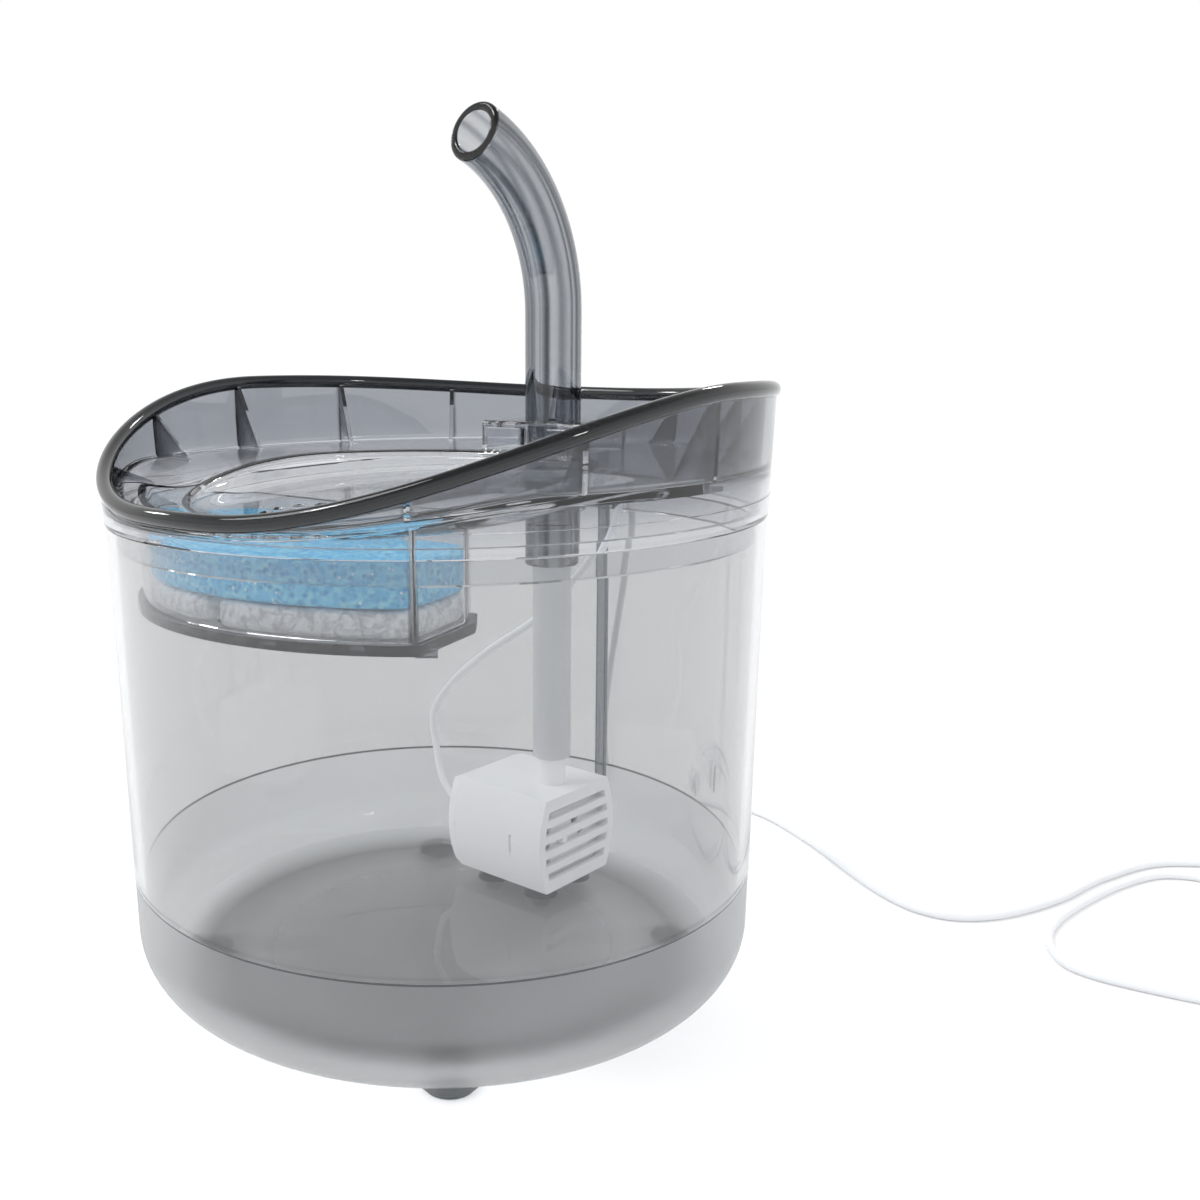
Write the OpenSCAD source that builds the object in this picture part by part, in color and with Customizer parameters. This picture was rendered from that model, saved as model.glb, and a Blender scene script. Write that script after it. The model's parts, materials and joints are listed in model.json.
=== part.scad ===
// Pet water fountain: a clear tank, a tinted lid with a drinking bowl, a curved tap and a small pump.
// It stands on a table. The origin is the middle of its base, +Z is up and -Y is the drinking side.

/* [Tank] */
// Outer diameter of the tank at its rim
tank_d = 176; // [168:1:200]
// Height of the tank's rim above the table
rim_z = 132.5; // [125:0.5:160]
// Thickness of the tank's side wall
tank_wall = 2.2; // [1.8:0.1:3]
// Thickness of the tank's floor
tank_floor = 3.5; // [2.8:0.1:5]
// Height of the floor's underside above the table
tank_lift = 2.5; // [2:0.1:4]
// Radius of the tank's rounded bottom edge
tank_round = 18; // [14:1:24]
// How far the side wall leans in for each millimetre of depth
tank_draft = 0.0153; // [0:0.0001:0.025]
// Height above the table at which the frosted band ends
frost_z = 36.2; // [30:0.1:60]
// Step in at the frosted band
frost_step = 0.25; // [0.1:0.05:0.6]

/* [Feet] */
// Diameter of the round boss over each pad
boss_d = 15.6; // [14:0.1:18]
// Diameter of each rubber pad
pad_d = 13; // [9:0.5:13.5]
// Thickness of each rubber pad
pad_t = 2.2; // [1.8:0.1:2.8]
// How far each pad stands out of its boss
pad_out = 1.5; // [1:0.1:1.7]

/* [Lid wall] */
// How far the lid stands out past the tank's rim
lid_lip = 0.3; // [0:0.05:1]
// Thickness of the lid's wall
lid_wall = 2.4; // [2:0.1:3]
// How far the lid's wall leans out for each millimetre of height
lid_draft = 0.035; // [0:0.001:0.06]
// Height of the lid's edge over the tank's rim at the drinking side
edge_front = 8.4; // [7.5:0.1:14]
// Height of the lid's edge at its sides
edge_side = 34.5; // [26:0.5:45]
// Height of the lid's edge at the back
edge_back = 29; // [22:0.5:40]
// Angle from the front within which the edge stays low
edge_low_angle = 8; // [0:1:20]
// Angle from the front at which the edge is highest
edge_high_angle = 95; // [80:1:110]
// Thickness of the rounded bead along the edge
bead_d = 4.2; // [3:0.1:5]
// Height of the thicker band round the lid's foot
band_h = 5.5; // [3:0.1:6]
// How far that band stands out
band_step = 0.15; // [0.05:0.05:0.4]
// How far the lid's spigot reaches into the tank
spigot_depth = 6; // [4:0.5:9]
// Thickness of the spigot
spigot_wall = 2; // [1.6:0.1:2.6]
// Room between the spigot and the tank's wall
spigot_gap = 0.4; // [0.3:0.05:0.8]
// Width of the finger notch at the front of the seam
finger_w = 16; // [10:1:24]
// Height of the finger notch
finger_h = 1.5; // [1:0.1:2]

/* [Deck and bowl] */
// Height of the deck over the tank's rim, at the back
deck_back = 12.3; // [10:0.1:15]
// Height of the deck where it meets the front wall
deck_front = 5; // [4:0.1:6]
// Thickness of the deck and the bowl
deck_t = 2.2; // [1.8:0.1:2.6]
// How much smaller the bowl's radius is than the tank's
bowl_in = 36; // [33:0.5:42]
// Distance of the bowl's centre in front of the tank's axis
bowl_ahead = 17; // [12:1:20]
// Height of the bowl's floor over the tank's rim, at the bowl's centre
bowl_floor_h = 5.3; // [5:0.1:6.5]
// Angle at which the bowl's floor falls to the front
bowl_tilt = 3.3; // [1:0.1:3.5]
// Radius between the bowl's floor and its side
bowl_round = 9; // [5:0.5:14]
// Distance of the drain's centre from the bowl's front lip
drain_in = 23; // [21:1:25]
// Diameter of each drain hole
drain_hole_d = 3.4; // [2.5:0.1:4]
// Thickness of the ribs between the deck and the lid's wall
rib_t = 1.3; // [1:0.1:2]
// Length of each rib's foot along the deck
rib_foot = 10.5; // [6:0.5:12]

/* [Tap] */
// Distance of the tap's axis inside the tank's rim
tap_in = 37; // [36:0.5:40]
// Outer diameter of the tap's tube
tap_d = 16.6; // [15:0.1:17.4]
// Bore of the tap's tube
tap_bore_d = 11.4; // [10.6:0.1:11.5]
// How far the tap's lower end hangs below the tank's rim
tap_below = 22.5; // [18:0.5:26]
// Length of the tap's straight part above the tank's rim
tap_straight = 52.2; // [45:0.1:80]
// Radius of the tap's bend, at the middle of the tube
tap_bend_r = 50; // [40:1:60]
// Angle through which the tap bends
tap_bend_angle = 72; // [50:1:85]
// Radial room between the tap and its socket
tap_gap = 0.05; // [0.02:0.01:0.1]
// Length of the socket under the block's top
socket_len = 24; // [20:1:26]
// Thickness of the socket's wall
socket_wall = 1.6; // [1.4:0.1:1.8]
// Width of the raised block round the socket, across the lid
block_w = 41; // [34:1:50]
// Depth of the raised block, front to back
block_d = 21; // [20.5:0.5:24]
// Height of the raised block above the deck
block_h = 8.5; // [6:0.5:12]
// Thickness of the block's walls and top
block_wall = 2; // [1.6:0.1:2.4]
// Width of the rubber ring in its groove
ring_w = 2.4; // [1.8:0.1:3]
// Depth of the ring's groove in the tap
ring_groove = 1.2; // [0.8:0.1:1.6]
// Height of the ring above the tap's lower end
ring_up = 24; // [21:0.5:26]

/* [Riser tube] */
// Outer diameter of the riser tube
riser_d = 11.8; // [11.5:0.1:11.9]
// Length of the riser tube inside the tap
riser_in_tap = 15; // [10:0.5:18]
// Radial room between the riser tube and the tap
riser_gap = 0.1; // [0.05:0.01:0.1]
// Radial room between the nozzle and the riser tube's bore
nozzle_gap = 0.05; // [0.03:0.01:0.1]
// Height of the riser's lower end above the pump
riser_up = 8.6; // [4:0.2:12]

/* [Filter] */
// Distance of the filter chamber's curved wall inside the tank's rim
chamber_in = 8.5; // [6:0.1:11]
// Length of the chamber from front to back
chamber_len = 49.5; // [48:0.5:51.5]
// Depth of the chamber below the tank's rim
chamber_depth = 19.5; // [16:0.5:24]
// Thickness of the chamber's walls
chamber_wall = 1.8; // [1.4:0.1:2.2]
// Distance of the chamber's side walls from the axis, square to each wall
chamber_side = 35; // [33:0.5:37]
// Distance of the chamber's cut corners from the axis, square to each corner's wall
chamber_corner = 12.5; // [11:0.1:14]
// How far the cover's plate stands out past the chamber
cover_rim = 1.5; // [0.8:0.1:1.8]
// Thickness of the cover's plate
cover_t = 2.5; // [2:0.1:3.5]
// Diameter of the holes in the cover
cover_hole_d = 5; // [3:0.5:6]
// Distance between the rows of holes in the cover
cover_pitch = 9; // [8:0.5:12]
// Thickness of the two cotton pads
cotton_t = 7; // [5:0.5:9]
// Distance to the right of the middle at which the two pads meet
cotton_split = 3; // [-10:1:10]
// Room between the filter's soft parts and the chamber
soft_gap = 0.4; // [0.3:0.1:0.8]
// Room above the sponge
sponge_gap = 2; // [1:0.5:4]

/* [Pump] */
// Length of the pump
pump_len = 39; // [36:0.5:42]
// Distance from the tap's axis to the pump's front
pump_front = 10.5; // [10.5:0.1:12]
// Width of the pump at half height
pump_w = 38; // [36:0.1:40]
// Height of the pump's body
pump_h = 30; // [29:0.1:33]
// Radius of the pump's bulging sides
pump_bulge_r = 33; // [30:1:60]
// Thickness of the pump's walls
pump_wall = 1.6; // [1.2:0.1:1.8]
// Thickness of the back cap
cap_t = 4; // [2.5:0.1:5]
// Thickness of the front grille's plate
grille_t = 1.5; // [1.2:0.1:2]
// Height of each slot in the grille
slot_h = 2.4; // [1.5:0.1:2.6]
// Distance between the grille's slots
slot_pitch = 4.9; // [4.2:0.1:5]
// Distance from the slots' ends to the pump's sides
slot_side = 3; // [3:0.1:7]
// Outer diameter of the nozzle
nozzle_d = 8.8; // [8.2:0.1:8.8]
// Bore of the nozzle
nozzle_bore_d = 6.2; // [5.4:0.1:6.4]
// Length of the nozzle above the pump
nozzle_len = 20; // [16:0.5:30]
// Height of the suction cups
cup_h = 4; // [3.5:0.1:5]
// Diameter of the suction cups
cup_d = 11; // [9:0.5:12]
// Diameter of the pump's shaft
shaft_d = 2; // [1.6:0.1:2.4]
// Radial room between the impeller and the shaft
shaft_gap = 0.05; // [0.02:0.01:0.1]
// Diameter of the impeller's blades
impeller_d = 16.6; // [14:0.1:17.4]
// Diameter of the rotor's magnet
magnet_d = 10; // [8:0.1:10.4]

/* [Cable] */
// Diameter of the cable
cable_d = 2.4; // [2:0.1:2.6]
// Width of the cable's notch in the tank's rim
notch_w = 4.2; // [3.6:0.1:5]
// Depth of that notch
notch_h = 7; // [6.5:0.1:8]
// Width of the cable guide's bar
guide_w = 3.6; // [2.5:0.1:4]
// Thickness of the cable guide's bar
guide_t = 2.2; // [1.8:0.1:2.4]
// Height of the guide's lower end above the table
guide_low_z = 30; // [26:1:60]
// Radius of the coil, at the middle of its turns
coil_r = 13.2; // [12:0.1:15]

/* [Hidden] */
// How far a cut runs past a face, and one joined shape into the next
over = 1;
// How far the outlines of the deck and the notch's cut run past the tank
past_tank = 4;

// Tank
floor_z = tank_lift + tank_floor;
tank_r = tank_d / 2;
corner_r = tank_wall_r(tank_lift + tank_round) - frost_step;
foot_r = corner_r - tank_round;
inner_round = tank_round - tank_wall;

// Lid
spigot_r = tank_r - tank_wall - spigot_gap;
deck_fall_len = 68;
deck_falls_from = deck_fall_len - tank_r;
bowl_d = tank_d - 2 * bowl_in;
drain_ahead = bowl_ahead + bowl_d / 2 - drain_in;
drain_pitch = 1.6 * drain_hole_d;
rib_angles = [40, 65, 90, 115, 140, 165];
rib_below_edge = 3;

// Tap
tap_back = tank_r - tap_in;
tap_low_z = rim_z - tap_below;
tap_high_z = rim_z + tap_straight;
tap_socket_r = riser_d / 2 + riser_gap;
block_top_z = rim_z + deck_back + block_h;
ring_z = tap_low_z + ring_up;
riser_bore_d = nozzle_d + 2 * nozzle_gap;
riser_end_gap = 0.3;

// Pump: its axis lies along X, under the tap
pump_z = floor_z + cup_h;
axis_z = pump_z + pump_h / 2;
pump_top_z = pump_z + pump_h;
pump_back = pump_front - pump_len;
case_back = pump_back + cap_t;
case_front = pump_front - grille_t;
wet_back = -4.7;
seal_x = 3.2;
cover_x = 4;
cover_disc_t = 1.6;
front_room_x = cover_x + cover_disc_t + 0.2;
volute_r = 9.5;
cover_r = 10.9;
well_r = 5.6;
well_wall = 1;
well_back = -17.4;
bush_len = 2.2;
well_low_x = well_back - bush_len - well_wall;
bulkhead_back = -7;
slider_plate = [1, 20, 18];
slider_gap = 0.4;
cup_places = [[-17, -8.5], [-17, 8.5], [2.5, -8.5], [2.5, 8.5]];

// Motor
core_x = -16.5;
core_len = 7;
core_gap = 0.3;
core_r = pump_h / 2 - pump_wall - core_gap;
core_ring = 2.2;
tooth_w = 4;
tooth_low = well_r + well_wall + 0.3;
coil_wire = 1.6;
board_t = 1.2;
board_w = 25;
board_gap = 1.4;
chips = [[-9, 6, 4, 4], [8.5, -7, 5, 3.5], [8.5, 8, 3, 3]];

// Filter
chamber_r = tank_r - chamber_in;
chamber_back = chamber_r - chamber_len;
chamber_floor_z = rim_z - chamber_depth;
cotton_top_z = chamber_floor_z + cotton_t;
sponge_top_z = rim_z + bowl_floor_h - (bowl_d / 2 - bowl_round) * sin(bowl_tilt) - deck_t - sponge_gap;
side_angle = 14.5;
corner_angle = 38.7;

// Cable: it leaves the pump's back, climbs over the tank's rim and lies on the table
cable_x = 0.8;
gland_len = 2.5;
gland_r = 2.4;
gland_y = tap_back - 4;
gland_at = [pump_back - gland_len, gland_y, axis_z];
rim_at = [cable_x, tank_r, rim_z];
cable_route = concat(
    [for (p = [[0, 0, 0], [-6, 0, 0.6], [-14, 1, 6], [-20, 4, 17], [-21.5, 5, 28]]) gland_at + p],
    [for (p = [[-45.3, -34, -67.5], [-32.8, -30, -56], [-19.8, -23, -45.5], [-9.8, -15, -32.5],
        [-3.4, -10.4, -22], [-0.3, -6.8, -12], [0, -4.5, -6.7], [0, -0.3, -4.9], [-0.1, 3.9, -6.7],
        [-0.5, 5.7, -11], [-4.8, 9.5, -29.5], [-19.8, 21, -73.5], [-27.8, 30, -100.5]]) rim_at + p],
    [[-30, 128, 12], [-24, 140, 2.4], [-8, 155, 1.2], [10, 160.5, 1.2], [38, 148, 1.2], [76, 124, 1.2],
        [96, 119.5, 1.2], [110, 130, 1.2], [120, 154, 1.2], [125.5, 182, 1.2], [137, 209, 1.2],
        [164, 224, 1.2], [196, 218, 1.2], [216, 192, 1.2], [216, 156, 1.2], [196, 126, 1.2],
        [148, 111, 1.2], [131, 119, 1.2], [125.5, 142, 1.2], [132, 182, 1.2], [144, 201, 1.2],
        [172, 203.2, 1.2]]);
coil_at = [172, 190];
coil_z = 0.6;
coil_half = 3.8;
coil_h = 6.8;
tie_t = 0.6;
tie_w = 5;
tie_angle = 250;
cable_end_route = [[184.7, 202.7, 1.8], [190.5, 197, 2.2], [196, 191.6, 2.8], [199.3, 186.6, 3.6],
    [200, 181, 3.8]];
plug_at = [200, 173];
plug_size = [16, 18, 7.6];
relief_len = 8;
relief_r = 2.6;
shell_size = [12, 12, 4.5];
shell_wall = 0.4;
cable_sides = 8;

// Radius of the tank's polished wall at height z
function tank_wall_r(z) = tank_d / 2 - tank_draft * (rim_z - z);

// Radius of the lid's wall, outside, at height h over the tank's rim
function lid_r(h) = tank_r + lid_lip + lid_draft * h;

// Points along a circle's arc, from angle a to angle b
function arc(centre, r, a, b, steps = 12) =
    [for (i = [0:steps]) centre + r * [cos(a + (b - a) * i / steps), sin(a + (b - a) * i / steps)]];

// Height that eases from high, at y = from, down to low, at y = to
function fall(y, from, to, high, low) =
    low + (high - low) * (1 + cos(180 * min(1, max(0, (from - y) / (from - to))))) / 2;

// Height of the lid's edge over the tank's rim, at angle a from the front
function edge(a) =
    let (turn = min(abs(a), 360 - abs(a)))
    turn < edge_high_angle
        ? fall(-turn, -edge_low_angle, -edge_high_angle, edge_front, edge_side)
        : fall(-turn, -edge_high_angle, -180, edge_side, edge_back);

// Height of the deck over the tank's rim
function deck_h(y) = fall(y, deck_falls_from, -tank_r, deck_back, deck_front);

// Points of the deck's top in Y and Z, from front to back, moved down by drop
function deck_line(drop) =
    let (steps = 10, past = past_tank, fall_len = tank_r + deck_falls_from,
        slope = [for (i = [steps:-1:0]) deck_falls_from - fall_len * i / steps])
    [for (y = [-tank_r - past, each slope, tank_r + past])
        [y, rim_z + deck_h(y) - drop]];

function backwards(list) = [for (i = [len(list) - 1:-1:0]) list[i]];

// Smooth path through the points, with steps parts to each span, never below the table
function smooth(p, steps) =
    let (q = concat([2 * p[0] - p[1]], p, [2 * p[len(p) - 1] - p[len(p) - 2]]))
    concat(
        [for (i = [1:len(q) - 3], k = [0:steps - 1])
            let (t = k / steps, a = q[i - 1], b = q[i], c = q[i + 1], d = q[i + 2])
            lay((2 * b + (c - a) * t + (2 * a - 5 * b + 4 * c - d) * t * t
                + (3 * b - a - 3 * c + d) * t * t * t) / 2)],
        [lay(p[len(p) - 1])]);
function lay(p) = [p.x, p.y, max(p.z, cable_d / 2)];

// Direction of the path at point i
function heading(path, i) =
    let (way = path[min(i + 1, len(path) - 1)] - path[max(i - 1, 0)])
    way / norm(way);

// The part of v that is square to the direction way, at unit length
function square_to(v, way) = let (s = v - (v * way) * way) s / norm(s);

// Rings of points round the path, kept from twisting by carrying one side vector along it
function cable_rings(path) =
    let (sides = [for (i = 0, s = square_to([0, 1, 0.3], heading(path, 0)); i < len(path);
        i = i + 1, s = i < len(path) ? square_to(s, heading(path, i)) : s) s])
    [for (i = [0:len(path) - 1])
        let (s = sides[i], t = cross(heading(path, i), s))
        [for (k = [0:cable_sides - 1])
            path[i] + cable_d / 2 * (s * cos(360 * k / cable_sides) + t * sin(360 * k / cable_sides))]];

// Closed skin over rings of points
module skin(rings) {
    n = len(rings[0]);
    m = len(rings);
    sides = [for (i = [0:m - 2], j = [0:n - 1])
        let (a = i * n + j, b = i * n + (j + 1) % n, c = b + n, d = a + n)
        each [[a, c, b], [a, d, c]]];
    caps = [[for (j = [0:n - 1]) j], [for (j = [n - 1:-1:0]) (m - 1) * n + j]];
    polyhedron([for (ring = rings) each ring], concat(sides, caps), convexity = 6);
}

// Extrudes a shape that is drawn in Y and Z along X, from x
module along_x(x, length) {
    translate([x, 0, 0])
        rotate([90, 0, 90])
            linear_extrude(length)
                children();
}

// Cylinder along the pump's axis, from x
module on_axis(x, length, r) {
    translate([x, tap_back, axis_z])
        rotate([0, 90, 0])
            cylinder(h = length, r = r, $fn = 64);
}

// Filter chamber's plan, moved in by inset (out when it is negative)
module chamber_plan(inset) {
    reach = 2 * tank_r;
    intersection() {
        circle(r = chamber_r - inset, $fn = 160);
        translate([-reach, -2 * reach - chamber_back - inset])
            square([2 * reach, 2 * reach]);
        chamber_side_limits(inset, reach);
        mirror([1, 0])
            chamber_side_limits(inset, reach);
    }
}

module chamber_side_limits(inset, reach) {
    intersection() {
        rotate(side_angle)
            translate([chamber_side - inset - 2 * reach, -reach])
                square([2 * reach, 2 * reach]);
        rotate(corner_angle)
            translate([chamber_corner - inset - 2 * reach, -reach])
                square([2 * reach, 2 * reach]);
    }
}

// Pump's section across its axis, moved in by inset
module pump_section(inset) {
    translate([tap_back, axis_z])
        intersection() {
            square([2 * pump_w, pump_h - 2 * inset], center = true);
            translate([pump_w / 2 - pump_bulge_r, 0])
                circle(r = pump_bulge_r - inset, $fn = 200);
            translate([pump_bulge_r - pump_w / 2, 0])
                circle(r = pump_bulge_r - inset, $fn = 200);
        }
}

// Tank: one clear moulding with four foot bosses, a frosted band below and a notch for the cable
module tank_outside() {
    rotate_extrude($fn = 180)
        polygon(concat(
            [[0, tank_lift]],
            arc([foot_r, tank_lift + tank_round], tank_round, -90, 0),
            [[tank_wall_r(frost_z) - frost_step, frost_z], [tank_wall_r(frost_z), frost_z],
                [tank_r, rim_z], [0, rim_z]]));
}

module tank_inside() {
    inner_r = corner_r - tank_wall - inner_round;
    rotate_extrude($fn = 180)
        polygon(concat(
            [[0, floor_z]],
            arc([inner_r, floor_z + inner_round], inner_round, -90, 0),
            [[tank_wall_r(frost_z) - frost_step - tank_wall, frost_z],
                [tank_r - tank_wall, rim_z], [tank_r - tank_wall, rim_z + over], [0, rim_z + over]]));
}

module at_feet() {
    for (a = [45:90:315])
        rotate(a)
            translate([foot_r, 0, 0])
                children();
}

module tank() {
    color([0.78, 0.8, 0.81, 0.35])
        difference() {
            union() {
                difference() {
                    tank_outside();
                    tank_inside();
                }
                at_feet()
                    translate([0, 0, pad_out])
                        cylinder(h = floor_z - pad_out - 0.5, d = boss_d, $fn = 64);
            }
            at_feet()
                translate([0, 0, pad_out - over])
                    cylinder(h = pad_t - pad_out + over, d = pad_d, $fn = 64);
            translate([cable_x - notch_w / 2, tank_r - 3 * tank_wall, rim_z - notch_h])
                cube([notch_w, 4 * tank_wall, notch_h + over]);
        }
}

module tank_feet() {
    edge_cut = 0.4;
    color([0.9, 0.91, 0.91, 0.6])
        at_feet()
            rotate_extrude($fn = 64)
                polygon([[0, 0], [pad_d / 2 - edge_cut, 0], [pad_d / 2, edge_cut],
                    [pad_d / 2, pad_t], [0, pad_t]]);
}

// Lid: one tinted moulding. Its wall follows a wavy edge, which carries a thicker bead.
module below_edge(low, drop) {
    edge_line = [for (a = [0:5:180]) [-(tank_r + lid_lip) * cos(a), rim_z + edge(a) - drop]];
    along_x(-tank_d, 2 * tank_d)
        polygon(concat([[-tank_d, low], [-tank_d, edge_line[0].y]], edge_line,
            [[tank_d, edge_line[len(edge_line) - 1].y], [tank_d, low]]));
}

module lid_wall_ring() {
    top = edge_side + 2;
    intersection() {
        rotate_extrude($fn = 180)
            polygon([[lid_r(0) - lid_wall, rim_z], [lid_r(0) + band_step, rim_z],
                [lid_r(band_h) + band_step, rim_z + band_h], [lid_r(band_h), rim_z + band_h],
                [lid_r(top), rim_z + top], [lid_r(top) - lid_wall, rim_z + top]]);
        below_edge(rim_z - over, bead_d / 2);
    }
}

// The bead's section has cut corners: a wide band, and a narrower one that stands above and below it
module lid_bead() {
    corner = bead_d / 4;
    lid_band(bead_d / 2, corner, bead_d - corner);
    lid_band(bead_d / 2 - corner, 0, bead_d);
}

module lid_band(half, above, below) {
    top = edge_side + 1;
    intersection() {
        rotate_extrude($fn = 180)
            polygon([for (side = [-1, 1], h = side < 0 ? [0, top] : [top, 0])
                [lid_r(h) - lid_wall / 2 + side * half, rim_z + h]]);
        difference() {
            below_edge(rim_z, above);
            below_edge(rim_z - over, below);
        }
    }
}

module lid_spigot() {
    flange_h = 2.2;
    rotate_extrude($fn = 180)
        polygon([[spigot_r - spigot_wall, rim_z - spigot_depth], [spigot_r, rim_z - spigot_depth],
            [spigot_r, rim_z], [lid_r(0) - 0.5, rim_z], [lid_r(0) - 0.5, rim_z + flange_h],
            [spigot_r - spigot_wall, rim_z + flange_h]]);
}

// Deck that falls to the front, with the bowl's side and sloping floor below it
module lid_deck() {
    intersection() {
        along_x(-tank_d, 2 * tank_d)
            polygon(concat(deck_line(0), backwards(deck_line(deck_t))));
        cylinder(h = 2 * rim_z, r = lid_r(0) - lid_wall / 2, $fn = 180);
    }
    intersection() {
        bowl_solid(bowl_d / 2 + deck_t, -deck_t);
        below_deck(0);
    }
}

// All the room under the deck's top, moved down by drop
module below_deck(drop) {
    low = chamber_floor_z - 1;
    along_x(-tank_d, 2 * tank_d)
        polygon(concat([[-tank_r - past_tank, low]], deck_line(drop), [[tank_r + past_tank, low]]));
}

// The bowl as a solid of radius r, with its floor moved up by up
module bowl_solid(r, up) {
    edge_r = bowl_round - up;
    top = 2 * deck_back;
    translate([0, -bowl_ahead, rim_z + bowl_floor_h])
        rotate([bowl_tilt, 0, 0])
            rotate_extrude($fn = 160)
                polygon(concat([[0, up]], arc([r - edge_r, up + edge_r], edge_r, -90, 0),
                    [[r, top], [0, top]]));
}

module lid_chamber() {
    intersection() {
        translate([0, 0, chamber_floor_z])
            linear_extrude(chamber_depth + deck_back)
                difference() {
                    chamber_plan(0);
                    chamber_plan(chamber_wall);
                }
        below_deck(deck_t / 2);
    }
}

module lid_rib(a) {
    base_h = deck_h(-tank_r * cos(a));
    top_h = edge(a) - rib_below_edge;
    wall_in = lid_wall - 0.8;
    rotate(a - 90)
        rotate([90, 0, 0])
            translate([0, 0, -rib_t / 2])
                linear_extrude(rib_t)
                    polygon([[lid_r(base_h) - lid_wall - rib_foot, rim_z + base_h - over],
                        [lid_r(base_h) - wall_in, rim_z + base_h - over],
                        [lid_r(top_h) - wall_in, rim_z + top_h],
                        [lid_r(top_h) - lid_wall - 0.6, rim_z + top_h],
                        [lid_r(base_h) - lid_wall - rib_foot, rim_z + base_h + 0.6]]);
}

module tap_block() {
    translate([-block_w / 2, tap_back - block_d / 2, rim_z + deck_back - deck_t])
        cube([block_w, block_d, block_h + deck_t]);
}

module tap_block_hollow() {
    low = 2 * deck_t;
    translate([-block_w / 2 + block_wall, tap_back - block_d / 2 + block_wall, rim_z + deck_back - low])
        cube([block_w - 2 * block_wall, block_d - 2 * block_wall, block_h + low - block_wall]);
}

module lid_socket(r, past = 0) {
    translate([0, tap_back, block_top_z - socket_len - past])
        cylinder(h = socket_len + 2 * past, r = r, $fn = 96);
}

module drain_holes() {
    rings = [[1, 0], [6, drain_pitch], [12, 2 * drain_pitch]];
    for (ring = rings, i = [0:ring[0] - 1])
        translate([0, -drain_ahead, rim_z - 2 * deck_t])
            rotate(360 * i / ring[0])
                translate([ring[1], 0, 0])
                    cylinder(h = 4 * deck_t + bowl_floor_h, d = drain_hole_d, $fn = 24);
}

module lid() {
    color([0.42, 0.46, 0.48, 0.5])
        difference() {
            union() {
                lid_wall_ring();
                lid_bead();
                lid_spigot();
                lid_chamber();
                for (side = [-1, 1], a = rib_angles)
                    lid_rib(side * a);
                difference() {
                    union() {
                        lid_deck();
                        tap_block();
                    }
                    tap_block_hollow();
                }
                lid_socket(tap_d / 2 + socket_wall);
            }
            lid_socket(tap_d / 2 + tap_gap, past = 1);
            bowl_solid(bowl_d / 2, 0);
            drain_holes();
            translate([cable_x - notch_w / 2, spigot_r - 2 * spigot_wall, rim_z - spigot_depth - over])
                cube([notch_w, 3 * spigot_wall, spigot_depth + over]);
            translate([-finger_w / 2, -tank_r - past_tank, rim_z - over])
                cube([finger_w, past_tank + lid_wall / 2, finger_h + over]);
        }
}

// Tap: one thick tube that stands in the lid's socket and bends over the bowl
module tap_tube(r) {
    translate([0, tap_back, tap_low_z])
        cylinder(h = tap_high_z - tap_low_z, r = r, $fn = 96);
    translate([0, tap_back - tap_bend_r, tap_high_z])
        rotate([90, 0, 90])
            rotate_extrude(angle = tap_bend_angle, $fn = 180)
                translate([tap_bend_r, 0])
                    circle(r = r, $fn = 96);
}

module ring_space(outer_r, inner_r, width) {
    translate([0, tap_back, ring_z])
        rotate_extrude($fn = 96)
            translate([inner_r, -width / 2])
                square([outer_r - inner_r, width]);
}

module faucet() {
    color([0.42, 0.46, 0.48, 0.55])
        difference() {
            tap_tube(tap_d / 2);
            tap_tube(tap_bore_d / 2);
            translate([0, tap_back, tap_low_z - over])
                cylinder(h = riser_in_tap + over + riser_end_gap, r = tap_socket_r, $fn = 96);
            ring_space(tap_d, tap_d / 2 - ring_groove, ring_w + 0.2);
        }
}

module faucet_seal() {
    color([0.85, 0.86, 0.87, 0.8])
        ring_space(tap_d / 2, tap_d / 2 - ring_groove + 0.05, ring_w);
}

module riser_tube() {
    length = riser_top_z() - pump_top_z - riser_up;
    color([0.7, 0.72, 0.74, 0.5])
        translate([0, tap_back, pump_top_z + riser_up])
            difference() {
                cylinder(h = length, d = riser_d, $fn = 96);
                translate([0, 0, -over])
                    cylinder(h = length + 2 * over, d = riser_bore_d, $fn = 96);
            }
}

function riser_top_z() = tap_low_z + riser_in_tap;

// Filter: a perforated cover that holds two cotton pads and a sponge up in the chamber
module filter_cover() {
    tab = [5, 3, 2];
    tab_angle = 42;
    tab_in = 5.5;
    color([0.3, 0.33, 0.35, 0.6])
        union() {
            translate([0, 0, chamber_floor_z - cover_t])
                linear_extrude(cover_t)
                    difference() {
                        chamber_plan(-cover_rim);
                        intersection() {
                            chamber_plan(chamber_wall + cover_hole_d / 2 + 1);
                            cover_hole_centres();
                        }
                    }
            for (side = [-1, 1])
                rotate(side * tab_angle)
                    translate([-tab.x / 2, tab_in - chamber_r, chamber_floor_z - cover_t - tab.z])
                        cube([tab.x, tab.y, tab.z + 0.5]);
        }
}

module cover_hole_centres() {
    columns = 5;
    rows = 6;
    for (i = [-columns:columns], j = [0:rows])
        translate([i * cover_pitch, -chamber_back - (j + 0.5) * cover_pitch])
            circle(d = cover_hole_d, $fn = 24);
}

module soft_slab(z, height) {
    translate([0, 0, z])
        linear_extrude(height)
            chamber_plan(chamber_wall + soft_gap);
}

module cotton_side(side) {
    color("gainsboro")
        intersection() {
            soft_slab(chamber_floor_z, cotton_t);
            translate([cotton_split + side * (tank_r + soft_gap / 2), 0, chamber_floor_z + cotton_t / 2])
                cube([tank_d, 2 * tank_d, 2 * cotton_t], center = true);
        }
}

module cotton_left() {
    cotton_side(-1);
}

module cotton_right() {
    cotton_side(1);
}

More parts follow.
